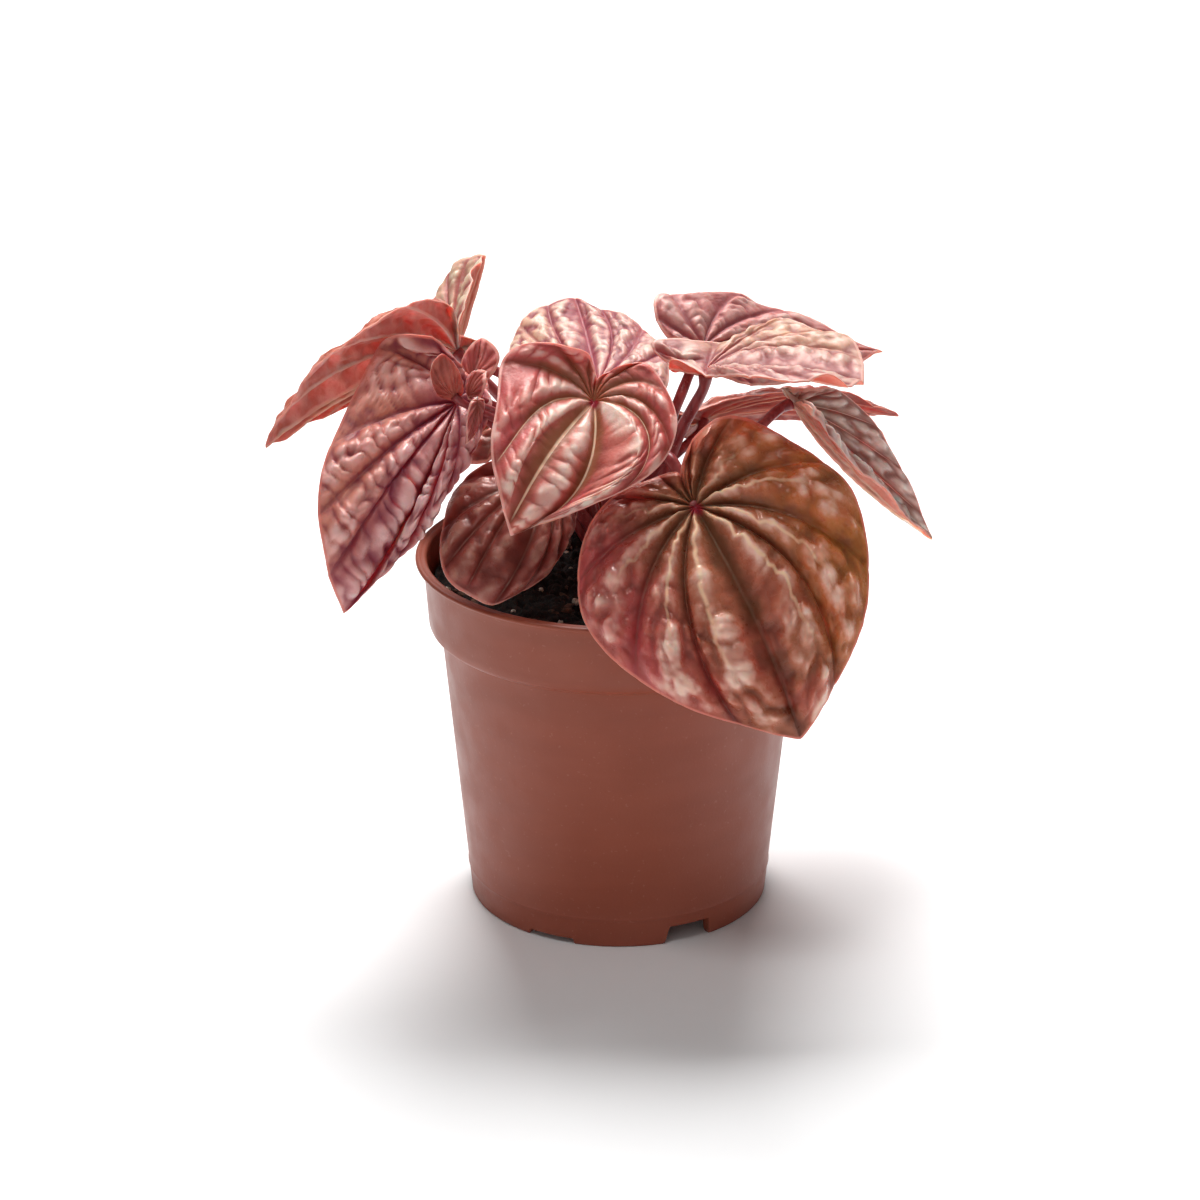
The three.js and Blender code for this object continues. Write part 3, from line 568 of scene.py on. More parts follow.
LEAVES = {
    "leaf_front_right": dict(
        look="bronze", heel=(13.5, -30, 135.5), base=(18.5, -38, 120.5), mid=(33.5, -57, 97),
        tip=(44, -62, 69.5), right=(-8, -54, 96), left=(56.5, -38, 124.5),
        stalk=((2, -3, 91), (6, -14, 116), (12, -28, 130)), lobe=(0.16, 0.27), breadth=(0.65, 0.6),
        taper=(0.15, -0.15), bow=(2, 2), ripple=2.7, frill=0.6, girth=1.7, sweep=1.3, fine=(116, 26),
        cell=5.5, depth=0.35, slant=0.3, wander=1.1, crest=0.12, pebble=5, stretch=1.2, strewn=1,
        fold_end=0.42, steep=0.65, boost=2, alone=0.45, small=0.3,
        veins=((0, 0.15, 0.36, 0.58, 0.75, 0.88, 1), (0, 0.13, 0.36, 0.57, 0.74, 0.87, 1)),
        # How strongly each rib's crest carries the painted highlight, for the right half and then the left
        # half.
        streaks=((1, 0.8, 0.5, 0.3, 0.1, 0), (1, 0.9, 0.9, 0.3, 0.2, 0)),
        blisters=(
            (29, 7.5, 5, 4, 5), (38, 7, 5, 4, 175), (17, 7, 5, 2, 15), (46, 3.5, 5, 3, 0),
            (55, -1.5, 3, 2, 120), (35.5, -19.5, 4.5, 3.5, 175), (43.5, -19, 4, 2, 0),
            (47.5, -15.5, 3, 2, 120), (18.5, -28, 5.5, 3, 135), (24.5, -20.5, 5, 2, 130),
            (43, -6, 4.5, 3, 175), (29.5, 20, 7.5, 2, 20), (20, 30.5, 4, 2, 35), (10, 24.5, 4, 3, 55),
            (24.5, 25, 4.5, 2, 20), (28, 32, 3.5, 2, 5), (40.5, 19, 3.5, 2, 155), (47.5, 15.5, 5, 2, 150),
            (37, 26, 4, 2, 160), (17, 19.5, 4, 2, 35), (34.5, -7, 3.5, 2, 165), (35.5, -25.5, 3, 2, 15),
            (36, -0.5, 3, 2, 170),
        ),
    ),
    "leaf_front_centre": dict(
        look="pink", heel=(-1.5, -16, 150.5), base=(-6.5, -22, 142), mid=(-10, -42, 127.5),
        tip=(-26.5, -50, 118), right=(-31, -36, 141.5), left=(13.5, -34, 138),
        stalk=((-1, -4, 91), (-3, -8, 112), (-5, -10, 130)), lobe=(0.32, 0.18), breadth=(1, 0.8),
        taper=(0.25, -0.1), ripple=2, girth=1.7, sweep=2.6, fine=(116, 26), cell=4.4, depth=0.42,
        slant=0.05, wander=0.8, crest=0.6, strewn=0.2, fold_end=0.6, groove=0.05, boost=1.05,
        veins=((0, 0.08, 0.35, 0.62, 0.76, 0.88, 1), (0, 0.29, 0.45, 0.6, 0.75, 0.88, 1)),
        threads=((1, 1, 1, 0, 0, 0, 0), (1, 1, 0, 0, 0, 0, 0)),
        # How strongly each rib's crest carries the painted highlight, for the right half and then the left
        # half.
        streaks=((1, 1, 0.6, 0.2, 0, 0), (1, 1, 0.4, 0.2, 0, 0)),
    ),
    "leaf_centre_back": dict(
        look="cream", heel=(-5, -12, 136.5), base=(-5.5, 0, 139), mid=(-8, 27, 142), tip=(-11.5, 50, 146),
        right=(12, 20, 141), left=(-28, 24, 139), stalk=((0, 1, 91), (-1, 1, 112), (-4, 0, 128)),
        lobe=(0.25, 0.25), taper=(0.6, 0), ripple=1.7, fine=(90, 20), cell=3.4, depth=0.7, slant=0.7,
        pebble=3.4, strewn=0.65, fold_end=0.3, steep=0.4, boost=0.95,
    ),
    "leaf_inside_pot": dict(
        look="maroon", heel=(-15, -8, 128), base=(-20, -16, 120), mid=(-22, -36, 111.5),
        tip=(-31.5, -42, 96.5), right=(-44, -30, 111.5), left=(-11.5, -26, 112.5),
        stalk=((-3, -2, 90), (-8, -3, 103), (-15, -7, 113)), lobe=(0.2, 0.3), breadth=(0.9, 1),
        taper=(-0.2, -0.4), frill=0.4, depth=0.45,
    ),
    "leaf_left": dict(
        look="mauve", heel=(-39.5, -8, 151), base=(-41, -14, 139), mid=(-52, -40, 119.5),
        tip=(-68, -50, 98), right=(-70.5, -38, 137), left=(-35, -22, 134.5),
        stalk=((-4, 0, 90), (-17, 1, 112), (-33, 0, 130)), lobe=(0.34, 0.1), breadth=(1, 0.5),
        taper=(0.1, -0.2), bow=(3, 2), ripple=2.4, frill=0.6, girth=1.6, fine=(116, 26), cell=4.6,
        depth=0.75, wander=0.8, crest=0.5, pebble=4.8, stretch=1.2, strewn=0.45, fold_end=0.3, steep=0.6,
        boost=1.5,
    ),
    "leaf_far_left": dict(
        look="terracotta", heel=(-35.5, 18, 147), base=(-41.5, 10, 145), mid=(-67, -13, 143),
        tip=(-86.5, -36, 135.5), right=(-56.5, 3, 138), left=(-52.5, -13, 164),
        stalk=((-4, 2, 90), (-14, 5, 112), (-31, 8, 134)), lobe=(0.15, -0.01), breadth=(1, 0.7),
        taper=(-0.5, 0.1), bow=(1, 1), ripple=1.5, under_step=1, depth=0.4, steep=0.7, boost=2.2,
    ),
    "leaf_upper_left": dict(
        look="sand", heel=(-43, 21, 134), base=(-42, 29, 138.5), mid=(-38.5, 42, 147.5), tip=(-35, 53, 157),
        right=(-40, 26, 151), left=(-48, 51, 146.5), stalk=((-3, 4, 90), (-10, 17, 110), (-24, 31, 127)),
        bow=(1, 1), ripple=1.4, frill=0.4, girth=1.4, depth=0.5, boost=1.1,
    ),
    "leaf_back_right": dict(
        look="rose", heel=(7, 18, 145), base=(21.5, 24, 141), mid=(44.5, 40, 133.5), tip=(70, 50, 131),
        right=(34, 16, 133.5), left=(31.5, 52, 146), stalk=((2, 3, 91), (8, 9, 112), (16, 17, 131)),
        lobe=(0.2, 0.25), breadth=(0.5, 1), taper=(0.4, 0.7), ripple=1.7, frill=0.8, cell=4.2, depth=0.7,
        pebble=4.2, boost=1,
    ),
    "leaf_right": dict(
        look="shell", heel=(8.5, -2, 146.5), base=(21.5, -8, 145), mid=(36, -14, 147), tip=(60, -22, 146.5),
        right=(31.5, -36, 153.5), left=(42, 14, 151), stalk=((4, -1, 91), (9, -3, 110), (16, -5, 130)),
        lobe=(0.25, 0.34), breadth=(0.5, 0.4), taper=(-0.6, -0.6), bow=(1, 1), frill=0.9, girth=1.6,
        fine=(90, 20), cell=3.8, depth=0.7, pebble=3.8, strewn=0.75, fold_end=0.3, boost=1.1,
    ),
    "leaf_right_hanging": dict(
        look="stone", heel=(37.5, 24, 130.5), base=(45.5, 30, 124), mid=(60.5, 40, 101.5), tip=(85, 52, 77),
        right=(54.5, 20, 118), left=(68.5, 44, 112.5), stalk=((4, 2, 90), (16, 10, 108), (34, 19, 119)),
        lobe=(-0.1, 0.1), breadth=(0.7, 0.8), taper=(0.4, 0.3), bow=(1, 1), ripple=1.7, under_step=1,
        depth=0.6, strewn=0.85, steep=0.6,
    ),
    "leaf_right_back": dict(
        look="dusk", heel=(8, 34, 116.5), base=(22.5, 42, 115), mid=(48.5, 54, 115), tip=(76, 64, 108),
        right=(38, 40, 122.5), left=(40, 62, 107), stalk=((2, 5, 90), (5, 16, 100), (11, 26, 107)),
        lobe=(0.25, 0.25), bow=(1, 1), ripple=1.5, girth=1.4, depth=0.4,
    ),
    "leaf_back_centre": dict(
        **HIDDEN, heel=(-8, 16, 124), base=(-6, 28, 121), mid=(-9, 46, 114), tip=(-11, 64, 94),
        right=(9, 42, 113), left=(-20, 42, 115), stalk=((-1, 5, 89), (-2, 14, 102), (-4, 22, 112)),
        lobe=(0.25, 0.2), breadth=(1, 0.8),
    ),
    "leaf_back_left": dict(
        **HIDDEN, heel=(-20, 14, 124), base=(-30, 20, 122), mid=(-46, 30, 118), tip=(-64, 38, 104),
        right=(-38, 44, 116), left=(-48, 16, 113), stalk=((-4, 4, 89), (-11, 9, 102), (-22, 16, 113)),
        lobe=(0.15, 0.25), breadth=(0.8, 1),
    ),
    "leaf_back_right_low": dict(
        **HIDDEN, heel=(17, 13, 107), base=(24, 20, 106), mid=(37, 33, 100), tip=(50, 45, 82),
        right=(45, 17, 101), left=(24, 40, 101), stalk=((4, 3, 88), (10, 9, 95), (17, 15, 100)),
        lobe=(0.25, 0.25),
    ),
    "leaf_young_cup": dict(
        **YOUNG, look="young", heel=(-41, -21, 141.5), base=(-41, -23, 144.5), mid=(-42, -27, 150.5),
        tip=(-43.5, -28, 157), right=(-46, -31, 151), left=(-39, -26, 150),
        stalk=((-4, -1, 90), (-13, -1, 116), (-26, -16, 133)), bow=(0.3, 0.3), ripple=0.4, girth=1,
    ),
    "leaf_young_back": dict(
        **YOUNG, look="bud", heel=(-38, 0, 137), base=(-37.5, 1, 139.5), mid=(-36, 4, 144),
        tip=(-35, 7, 149.5), right=(-30.5, 0, 145.5), left=(-40, 3, 144.5),
        stalk=((-4, 3, 90), (-14, 3, 112), (-30, 3, 128)), bow=(1, 1), ripple=0.6, girth=1,
    ),
    "leaf_young_front": dict(
        **YOUNG, look="young", heel=(-37.5, -20.5, 141.5), base=(-37, -20.5, 143.5),
        mid=(-35.5, -21.5, 147), tip=(-33, -21, 150), right=(-33.5, -25, 146.5), left=(-36.5, -18, 147.5),
        stalk=((-3, -1, 90), (-11, 0, 116), (-22, -12, 133)), lobe=(0.15, 0.15), bow=(0.5, 0.5), ripple=0.5,
        girth=0.9,
    ),
    "leaf_young_narrow": dict(
        **YOUNG, look="young", heel=(-35, -27.5, 146), base=(-35.5, -28.5, 145), mid=(-36.5, -30.5, 140.5),
        tip=(-38, -30.5, 134.5), right=(-37.5, -31.5, 142.5), left=(-34, -28.5, 141.5),
        stalk=((-3, -2, 90), (-10, -1, 116), (-20, -11, 131)), lobe=(0.15, 0.15), bow=(0.5, 0.5),
        ripple=0.5, girth=0.9,
    ),
}

FIRST_SEED = 3

# A leaf takes the usual numbers where it has none of its own.
for number, (leaf_name, own) in enumerate(LEAVES.items()):
    LEAVES[leaf_name] = {**USUAL_LEAF, "seed": FIRST_SEED + number, **own}

HEEL, WIDEST, SINUS = 0.3, 0.28, 0.14
FRONT_SHARE, SIDE_SHARE, BACK_SHARE = 0.5, 0.3, 0.2
VEIN_SWING = 0.34
FOLD_EASE = 0.25


def bezier(points, share):
    """A cubic curve through its first and last points, at shares of the way."""
    a, b, c, d = np.asarray(points, float)
    t = np.asarray(share, float)[..., None]
    return a * (1 - t) ** 3 + 3 * b * t * (1 - t) ** 2 + 3 * c * t * t * (1 - t) + d * t**3


def heart_edge(leaf, half, share):
    """The heart's half outline, as shares along and across: a front curve from the tip to the widest
    place, a side curve round the lobe, and a back curve into the cut between the lobes."""
    lobe, breadth, taper = (leaf[key][half] for key in ("lobe", "breadth", "taper"))
    ear = (-lobe, 0.5 * breadth)
    front = [(1, 0), (0.9, 0.36 * (1 - taper)), (0.63 - 0.25 * taper, 1), (WIDEST, 1)]
    side = [(WIDEST, 1), (WIDEST - 0.3 * breadth, 1), (-lobe, 0.92 * breadth), ear]
    back = [ear, (-lobe, 0.2 * breadth), (-SINUS - 0.04, 0.03), (-SINUS, 0)]
    edge = bezier(front, np.clip(share / FRONT_SHARE, 0, 1))
    start = FRONT_SHARE
    for curve, length in ((side, SIDE_SHARE), (back, BACK_SHARE)):
        further = bezier(curve, np.clip((share - start) / length, 0, 1))
        edge = np.where(share[..., None] < start, edge, further)
        start += length
    return edge


def flat_place(leaf, turn, s):
    """Shares along and across the flat heart: turn is -1 to 1 round the edge from the sinus over the
    left half to the tip and back over the right, and s is 0 to 1 from the base out. Veins swing out."""
    share = np.abs(turn)
    edge = np.where((turn < 0)[..., None], heart_edge(leaf, 1, share), heart_edge(leaf, 0, share))
    swing = VEIN_SWING * np.minimum(1, share / 0.12) * (1 - share) * (1 - 0.4 * share) * leaf["sweep"]
    swing = 2 * swing * s * (1 - s)
    along = s * edge[..., 0] - 0.6 * swing * edge[..., 1]
    across = s * edge[..., 1] + 1.4 * swing * edge[..., 0]
    return along, np.where(turn < 0, -across, across)


def blade_place(leaf, along, across):
    """Point and upward normal of the smooth sheet. The midrib is a parabola through base, mid and tip,
    with a parabola of its own back to the heel. Each half runs from it to the half's widest point and
    is bowed upwards, and the normal turns smoothly over the fold."""
    base, mid, tip, heel = (np.array(leaf[k], float) for k in ("base", "mid", "tip", "heel"))
    to_tip = tip - base
    ahead = 4 * (mid - base) - to_tip
    front = to_tip - ahead
    back = (heel - base + HEEL * ahead) / HEEL**2
    a = along[..., None]
    bend = np.where(a < 0, back, front)
    point = base + a * ahead + a * a * bend
    heading = ahead + 2 * a * bend
    widest = base + WIDEST * ahead + WIDEST**2 * front
    whole = np.abs(across)[..., None]
    reach = np.minimum(whole, 1)
    runs = []
    for side, key, bow in ((1, "right", leaf["bow"][0]), (-1, "left", leaf["bow"][1])):
        out = np.array(leaf[key], float) - widest
        up = side * np.cross(out, to_tip)
        up = up / np.linalg.norm(up)
        mine = (side * across > 0)[..., None]
        point = point + np.where(mine, whole * out + 4 * bow * whole * (1 - whole) * up, 0)
        runs.append(side * (out + 4 * bow * (1 - 2 * reach) * up))
    right_share = smooth(across, -FOLD_EASE, FOLD_EASE)[..., None]
    normal = np.cross(right_share * runs[0] + (1 - right_share) * runs[1], heading)
    return point, normal / np.linalg.norm(normal, axis=-1, keepdims=True)


# --------------------------------------------------
# Crown and petioles: one short fleshy stem in the soil, with the dark red leaf stalks that grow from
# it. Each stalk tapers a little and widens again where it enters its blade.
# --------------------------------------------------

PATH_STEPS = 24
STALK_RINGS = 64
STALK_SIDES = 20
STALK_INSIDE = 0.15
CROWN_SIDES = 48


def smooth_path(points, count):
    """Centripetal Catmull-Rom curve through the points: each stretch is blended from four neighbours,
    with knots spaced by the square root of the distances."""
    p = np.asarray(points, float)
    p = np.vstack([2 * p[0] - p[1], p, 2 * p[-1] - p[-2]])
    t = np.linspace(0, 1, PATH_STEPS, endpoint=False)[:, None]
    pieces = []
    for i in range(1, len(p) - 2):
        t0, t1, t2 = (np.linalg.norm(p[i + k] - p[i + k - 1]) ** 0.5 for k in (0, 1, 2))
        step = p[i + 1] - p[i]
        m1 = step + t1 * ((p[i] - p[i - 1]) / t0 - (p[i + 1] - p[i - 1]) / (t0 + t1))
        m2 = step + t1 * ((p[i + 2] - p[i + 1]) / t2 - (p[i + 2] - p[i]) / (t1 + t2))
        a, b = m1 + m2 - 2 * step, 3 * step - 2 * m1 - m2
        pieces.append(a * t**3 + b * t**2 + m1 * t + p[i])
    line = np.vstack([*pieces, p[-2:-1]])
    length = np.concatenate([[0], np.cumsum(np.linalg.norm(np.diff(line, axis=0), axis=1))])
    even = np.linspace(0, length[-1], count)
    return np.stack([np.interp(even, length, line[:, k]) for k in range(3)], -1)


def tube_rings(path, radii, sides):
    """Rings of a round tube: circles across the path, kept from twisting by carrying one direction on."""
    ahead = np.gradient(path, axis=0)
    ahead /= np.linalg.norm(ahead, axis=1, keepdims=True)
    side = np.cross(ahead[0], [0.3, 0.9, 0.1])
    sides_at = []
    for direction in ahead:
        side = side - direction * side.dot(direction)
        side = side / np.linalg.norm(side)
        sides_at.append(side)
    side = np.array(sides_at)[:, None, :]
    up = np.cross(ahead, side[:, 0])[:, None, :]
    turn = (2 * np.pi * np.arange(sides) / sides)[None, :, None]
    return path[:, None, :] + np.asarray(radii)[:, None, None] * (np.cos(turn) * side + np.sin(turn) * up)


def petiole_mesh(name, leaf):
    """A stalk from the crown to just inside its blade, on a smooth curve through its points. It thins
    by a fifth on its way, swells slightly here and there, and widens again just under the blade."""
    at, normal = (rows[0] for rows in blade_place(leaf, np.zeros(1), np.zeros(1)))
    ahead = at - np.array(leaf["stalk"][-1], float)
    inward = normal + 1.5 * ahead / np.linalg.norm(ahead)
    neck = at - 2.2 * leaf["girth"] * inward / np.linalg.norm(inward)
    path = smooth_path([*leaf["stalk"], neck, at - STALK_INSIDE * normal], STALK_RINGS)
    share = np.linspace(0, 1, STALK_RINGS)
    girth = leaf["girth"] * (1.12 - 0.24 * share + 0.25 * smooth(share, 0.94, 1.0))
    girth = girth * (1 + 0.025 * np.sin(share * 47 + leaf["girth"] * 31))
    return skin_mesh(name, tube_rings(path, girth, STALK_SIDES), path[0], path[-1])


def crown_mesh():
    """The crown: a lathe shape, wider at the soil, with a few swellings where old stalks have dropped."""
    heights = np.array([72.5, 76, 80, 84, 86.5, 88, 89.5, 90.7, 91.6])[:, None]
    radii = np.array([5.5, 6.4, 6.5, 6.5, 6.5, 6.6, 6.2, 5.2, 3.0])[:, None]
    turn = (2 * np.pi * np.arange(CROWN_SIDES) / CROWN_SIDES)[None, :]
    swelling = 0.05 * np.sin(5 * turn + heights * 0.9) + 0.03 * np.sin(9 * turn - heights)
    rings = round_axis(radii * (1 + swelling), turn, heights)
    return skin_mesh("crown", rings, (0, 0, 72.0), (0, 0, 92.2))


def stalk_skin():
    """Smooth dark red skin, with paler lengthwise streaks, paler patches and small pale dots."""
    skin = Finish("dark red stalk", tint("84303a"), 0.34, 0.4)
    place, drawn = skin.place(), skin.place((1.0, 1.0, 0.16))
    streak = skin.ramp(skin.noise(drawn, 700.0), 0.35, 0.7)
    patch = skin.times(skin.ramp(skin.noise(place, 70.0, 2.0), 0.4, 0.65), 0.4)
    dots = skin.times(skin.ramp(skin.noise(place, 1300.0, 1.0), 0.68, 0.74), 0.35)
    skin.give("Base Color", skin.layers("842a30", (streak, "a84a4c"), (patch, "b86460"), (dots, "cf9a93")))
    skin.give("Coat Weight", 0.2)
    skin.give("Coat Roughness", 0.25)
    skin.bump(skin.noise(drawn, 1500.0, 2.0), 0.0001, 0.6)
    return skin.material


stalk_finish = stalk_skin()
piece("crown", crown_mesh(), stalk_finish, "petiole_skin", "crown_and_petioles")
for leaf_name, leaf in LEAVES.items():
    stalk_name = leaf_name.replace("leaf", "petiole")
    piece(stalk_name, petiole_mesh(stalk_name, leaf), stalk_finish, "petiole_skin")

# --------------------------------------------------
# Leaf blades: fleshy heart-shaped sheets, quilted between their veins into ribs and rows of puffs.
# Each is one body, glossy on top, with a duller underside where the veins stand out.
# --------------------------------------------------

VEINS = (0, 0.15, 0.33, 0.5, 0.67, 0.84, 1)
STRIPS = len(VEINS) - 1
BLADE_THICKNESS = 0.9
ROW_EASE = 0.92
CREST_LEAN = 0.2
CREST_RANGE = (0.25, 0.75)
SHARP = 9.0
PUFF_REACH = 0.62
FAR_MM = 9.0


def puffs(x, y, size, seed):
    """Soft round bumps of this size, 0 in the valleys and 1 on top. Points are strewn one to a grid cell,
    the smooth least distance to them is -ln(sum exp(-k d)) / k, and a bump falls with its square."""
    total = np.full(x.shape, 1e-9)
    for from_x, from_y, (point_x, point_y) in cells_around(x, y, size, seed, 0.12, 0.88, 2):
        total += np.exp(-SHARP * np.hypot(from_x - point_x, from_y - point_y))
    least = np.clip(-np.log(total) / SHARP, 0, PUFF_REACH) / PUFF_REACH
    return 1 - least**2


def bubbles(x, y, size, seed):
    """Single blisters on a smooth ground, 0 to 1: one to a grid cell at a random place with a random
    radius r up to 0.62 of the cell, some of them none, each (1 - (d / r)^2)^1.5 high."""
    height = np.zeros(x.shape)
    for from_x, from_y, (share_x, share_y, size_share) in cells_around(x, y, size, seed, 0, 1, 3):
        radius = PUFF_REACH * np.clip(1.35 * size_share, 0.01, 1)
        far = np.hypot(from_x - 0.2 - 0.6 * share_x, from_y - 0.2 - 0.6 * share_y) / radius
        height = np.maximum(height, np.clip(1 - far**2, 0, 1) ** 1.5 * np.minimum(1, radius / 0.35))
    return height


def placed_blisters(leaf, x, y):
    """The leaf's own single blisters on its flat blade, each an oval dome 1 - d^2 high: its middle, its
    half length and half width, and the turn of its long way out from the midrib in degrees."""
    height = np.zeros(x.shape)
    for cx, cy, half_length, half_width, turn in leaf.get("blisters", ()):
        way = math.radians(turn)
        ahead = (x - cx) * math.cos(way) + (y - cy) * math.sin(way)
        aside = (y - cy) * math.cos(way) - (x - cx) * math.sin(way)
        far = np.hypot(ahead / half_length, aside / half_width)
        height = np.maximum(height, np.clip(1 - far**2, 0, 1))
    return height


def quilting(leaf, lane, u, ridge, width, along_rib, s, placed):
    """Height of the quilting from 0 to about 1, and a share that says how near a cross crease a point
    lies. Between two veins a rib rises as a tent with a rounded ridge. Slanting creases cut it into
    folds. Strewn round puffs and single blisters take over towards the margin, where a leaf has them,
    and the blisters placed one by one stand out of these."""
    cell, pebble, sharp, alone = (leaf[key] for key in ("cell", "pebble", "crest", "alone"))
    climb = np.where(u < ridge, u / ridge, (1 - u) / (1 - ridge))
    rib = 1 - (np.sqrt((1 - climb) ** 2 + sharp**2) - sharp) / (math.sqrt(1 + sharp**2) - sharp)
    sideways = (u - 0.5) * width + 37.3 * lane
    beat = along_rib / cell + 0.3 * np.sin(1.7 * along_rib / cell + 2.4 * lane) + 2.4 * lane
    beat = beat + leaf["slant"] * np.abs(u - ridge) * width / cell
    beat = beat + 0.35 * value_noise(along_rib, sideways, 4.5, 17)
    fold = np.abs(np.cos(np.pi * beat)) ** 0.8
    swell = 1 + 0.3 * value_noise(along_rib, 60 * lane + 7, 1.3 * cell, 15)
    bend = 0.3 * pebble
    bent_along = along_rib / leaf["stretch"] + bend * value_noise(along_rib, sideways, 1.3 * pebble, 31)
    bent_across = sideways + bend * value_noise(along_rib, sideways, 1.3 * pebble, 32)
    bumps = (1 - alone) * puffs(bent_along, bent_across, pebble, leaf["seed"])
    bumps = bumps + alone * bubbles(bent_along, bent_across, pebble, leaf["seed"] + 40)
    bumps = 1 - (1 - bumps) * (1 - 0.9 * placed)
    small = puffs(along_rib, sideways, 2.4, leaf["seed"] + 60)
    bumps = bumps * (1 - leaf["small"] + leaf["small"] * small)
    ground = 0.25 + 0.3 * alone
    cut = leaf["depth"] * smooth(s, 0.1, 0.5)
    share = leaf["strewn"] * smooth(s, leaf["fold_end"] - 0.35, leaf["fold_end"] + 0.2)
    share = share * smooth(width, 2.5, 6.0)
    height = (1 - share) * rib * swell * (1 - cut + cut * fold)
    height = height + 1.15 * share * rib**0.55 * (ground + (1 - ground) * bumps)
    crease = (1 - share) * (1 - fold) * cut + share * (1 - bumps) * (1 - alone)
    return height, np.clip(crease, 0, 1)


def blade_mesh(name, leaf):
    """The closed blade: rows run from the base over the upper face to the margin and back underneath.
    The upper face is the smooth sheet raised by the quilting and waved at its margin. The lower face
    follows it at the blade's thickness, which thins and rounds off at the margin. The columns between
    two veins bunch to both sides of the rib's crest, which wanders from side to side on its way out."""
    rows, per_strip = leaf["fine"]
    base, tip, right, left = (np.array(leaf[key], float) for key in ("base", "tip", "right", "left"))
    place = np.linspace(STRIPS, -STRIPS, 2 * STRIPS * per_strip, endpoint=False)[None, :]
    is_left = place < 0
    s = np.linspace(0, 1, rows + 1)[1:, None] ** ROW_EASE
    strip = np.minimum(np.floor(np.abs(place)), STRIPS - 1) + 0 * s
    column = np.abs(place) - strip
    lane = strip + 7 * is_left + leaf["seed"]
    start = base[None, None] + np.zeros((1, place.size, 1))
    over_strip = lambda values: values.reshape(rows, 2 * STRIPS, per_strip)
    crest = 0.5 + 0 * strip
    for _ in range(2):
        ridge = crest
        u = np.where(column < 0.5, 2 * column * ridge, ridge + (2 * column - 1) * (1 - ridge))
        veins = leaf.get("veins", (VEINS, VEINS))
        right_share, left_share = (np.interp(strip + u, range(STRIPS + 1), shares) for shares in veins)
        turn = np.where(is_left, -left_share, right_share)
        along, across = flat_place(leaf, turn, s + 0 * turn)
        sheet, normal = blade_place(leaf, along, across)
        gaps = np.linalg.norm(np.roll(sheet, -1, 1) - sheet, axis=-1)
        width = np.repeat(over_strip(gaps).sum(-1), per_strip, 1)
        along_rib = np.cumsum(np.linalg.norm(np.diff(sheet, axis=0, prepend=start), axis=-1), 0)
        ahead = np.repeat(over_strip(along_rib).mean(-1), per_strip, 1)
        lean = CREST_LEAN * value_noise(5.0 * lane, 3.0 + 0 * lane, 1.7, 21)
        wander = value_noise(ahead, 60 * lane, 0.6 * leaf["cell"], 12)
        wander = wander + 0.5 * value_noise(ahead, 60 * lane + 30, 0.28 * leaf["cell"], 13)
        wander = wander * smooth(s, 0.0, 0.15) * (1 - 0.5 * smooth(s, 0.5, 0.9))
        crest = np.clip(0.5 + lean + leaf["wander"] * wander / np.maximum(width, 3), *CREST_RANGE)

    flat_x = along * np.linalg.norm(tip - base)
    flat_y = across * 0.5 * np.linalg.norm(right - left)
    from_vein, from_crest = np.minimum(u, 1 - u) * width, (u - ridge) * width
    to_margin = along_rib[-1:] - along_rib
    placed = placed_blisters(leaf, flat_x, flat_y)
    height, crease = quilting(leaf, lane, u, ridge, width, along_rib, s, placed)
    deep = leaf["ripple"] * leaf["boost"]
    deep = deep * (1 - np.exp(-leaf["steep"] * width / deep)) * (1 - 0.8 * smooth(s, 0.86, 1.0))
    fine = 0.14 * value_noise(flat_x, flat_y, 2.3, 5) + 0.06 * value_noise(flat_x, flat_y, 1.2, 8)
    raised = deep * height + fine * smooth(width, 0.5, 4.0) * min(1.0, leaf["ripple"])
    raised = raised - leaf["groove"] * np.exp(-((from_vein / 0.7) ** 2)) * smooth(width, 0.5, 4.0)
    waves = np.sin(2 * np.pi * (4 * np.abs(turn) + 0.2)) * (1 + 0.5 * np.sin(9 * turn))
    raised = raised + leaf["frill"] * s**4 * waves
    middle = sheet + raised[..., None] * normal

    half = 0.5 * BLADE_THICKNESS * (0.75 + 0.25 * leaf["ripple"] / 2)
    half = half * (1 - 0.45 * smooth(-to_margin, -1.6, 0))
    upper = middle + half[..., None] * normal
    below = np.arange(rows - 1, -1, -leaf["under_step"])
    lower = (middle - half[..., None] * normal)[below]
    outward = middle[-1] - middle[-2]
    outward /= np.linalg.norm(outward, axis=-1, keepdims=True) + 1e-9
    rim = middle[-1] + 0.8 * half[-1][:, None] * outward
    rings = np.concatenate([upper, rim[None], lower])
    (centre,), (up,) = blade_place(leaf, np.zeros(1), np.zeros(1))
    poles = centre + half[0, 0] * up, centre - half[0, 0] * up

    def over(values, at_rim, pole):
        """One number a vertex: first pole, upper rows, rim, lower rows, last pole."""
        values = values + 0 * turn
        rim_values = np.full(place.size, at_rim)
        return np.concatenate([[pole], values.ravel(), rim_values, values[below].ravel(), [pole]])

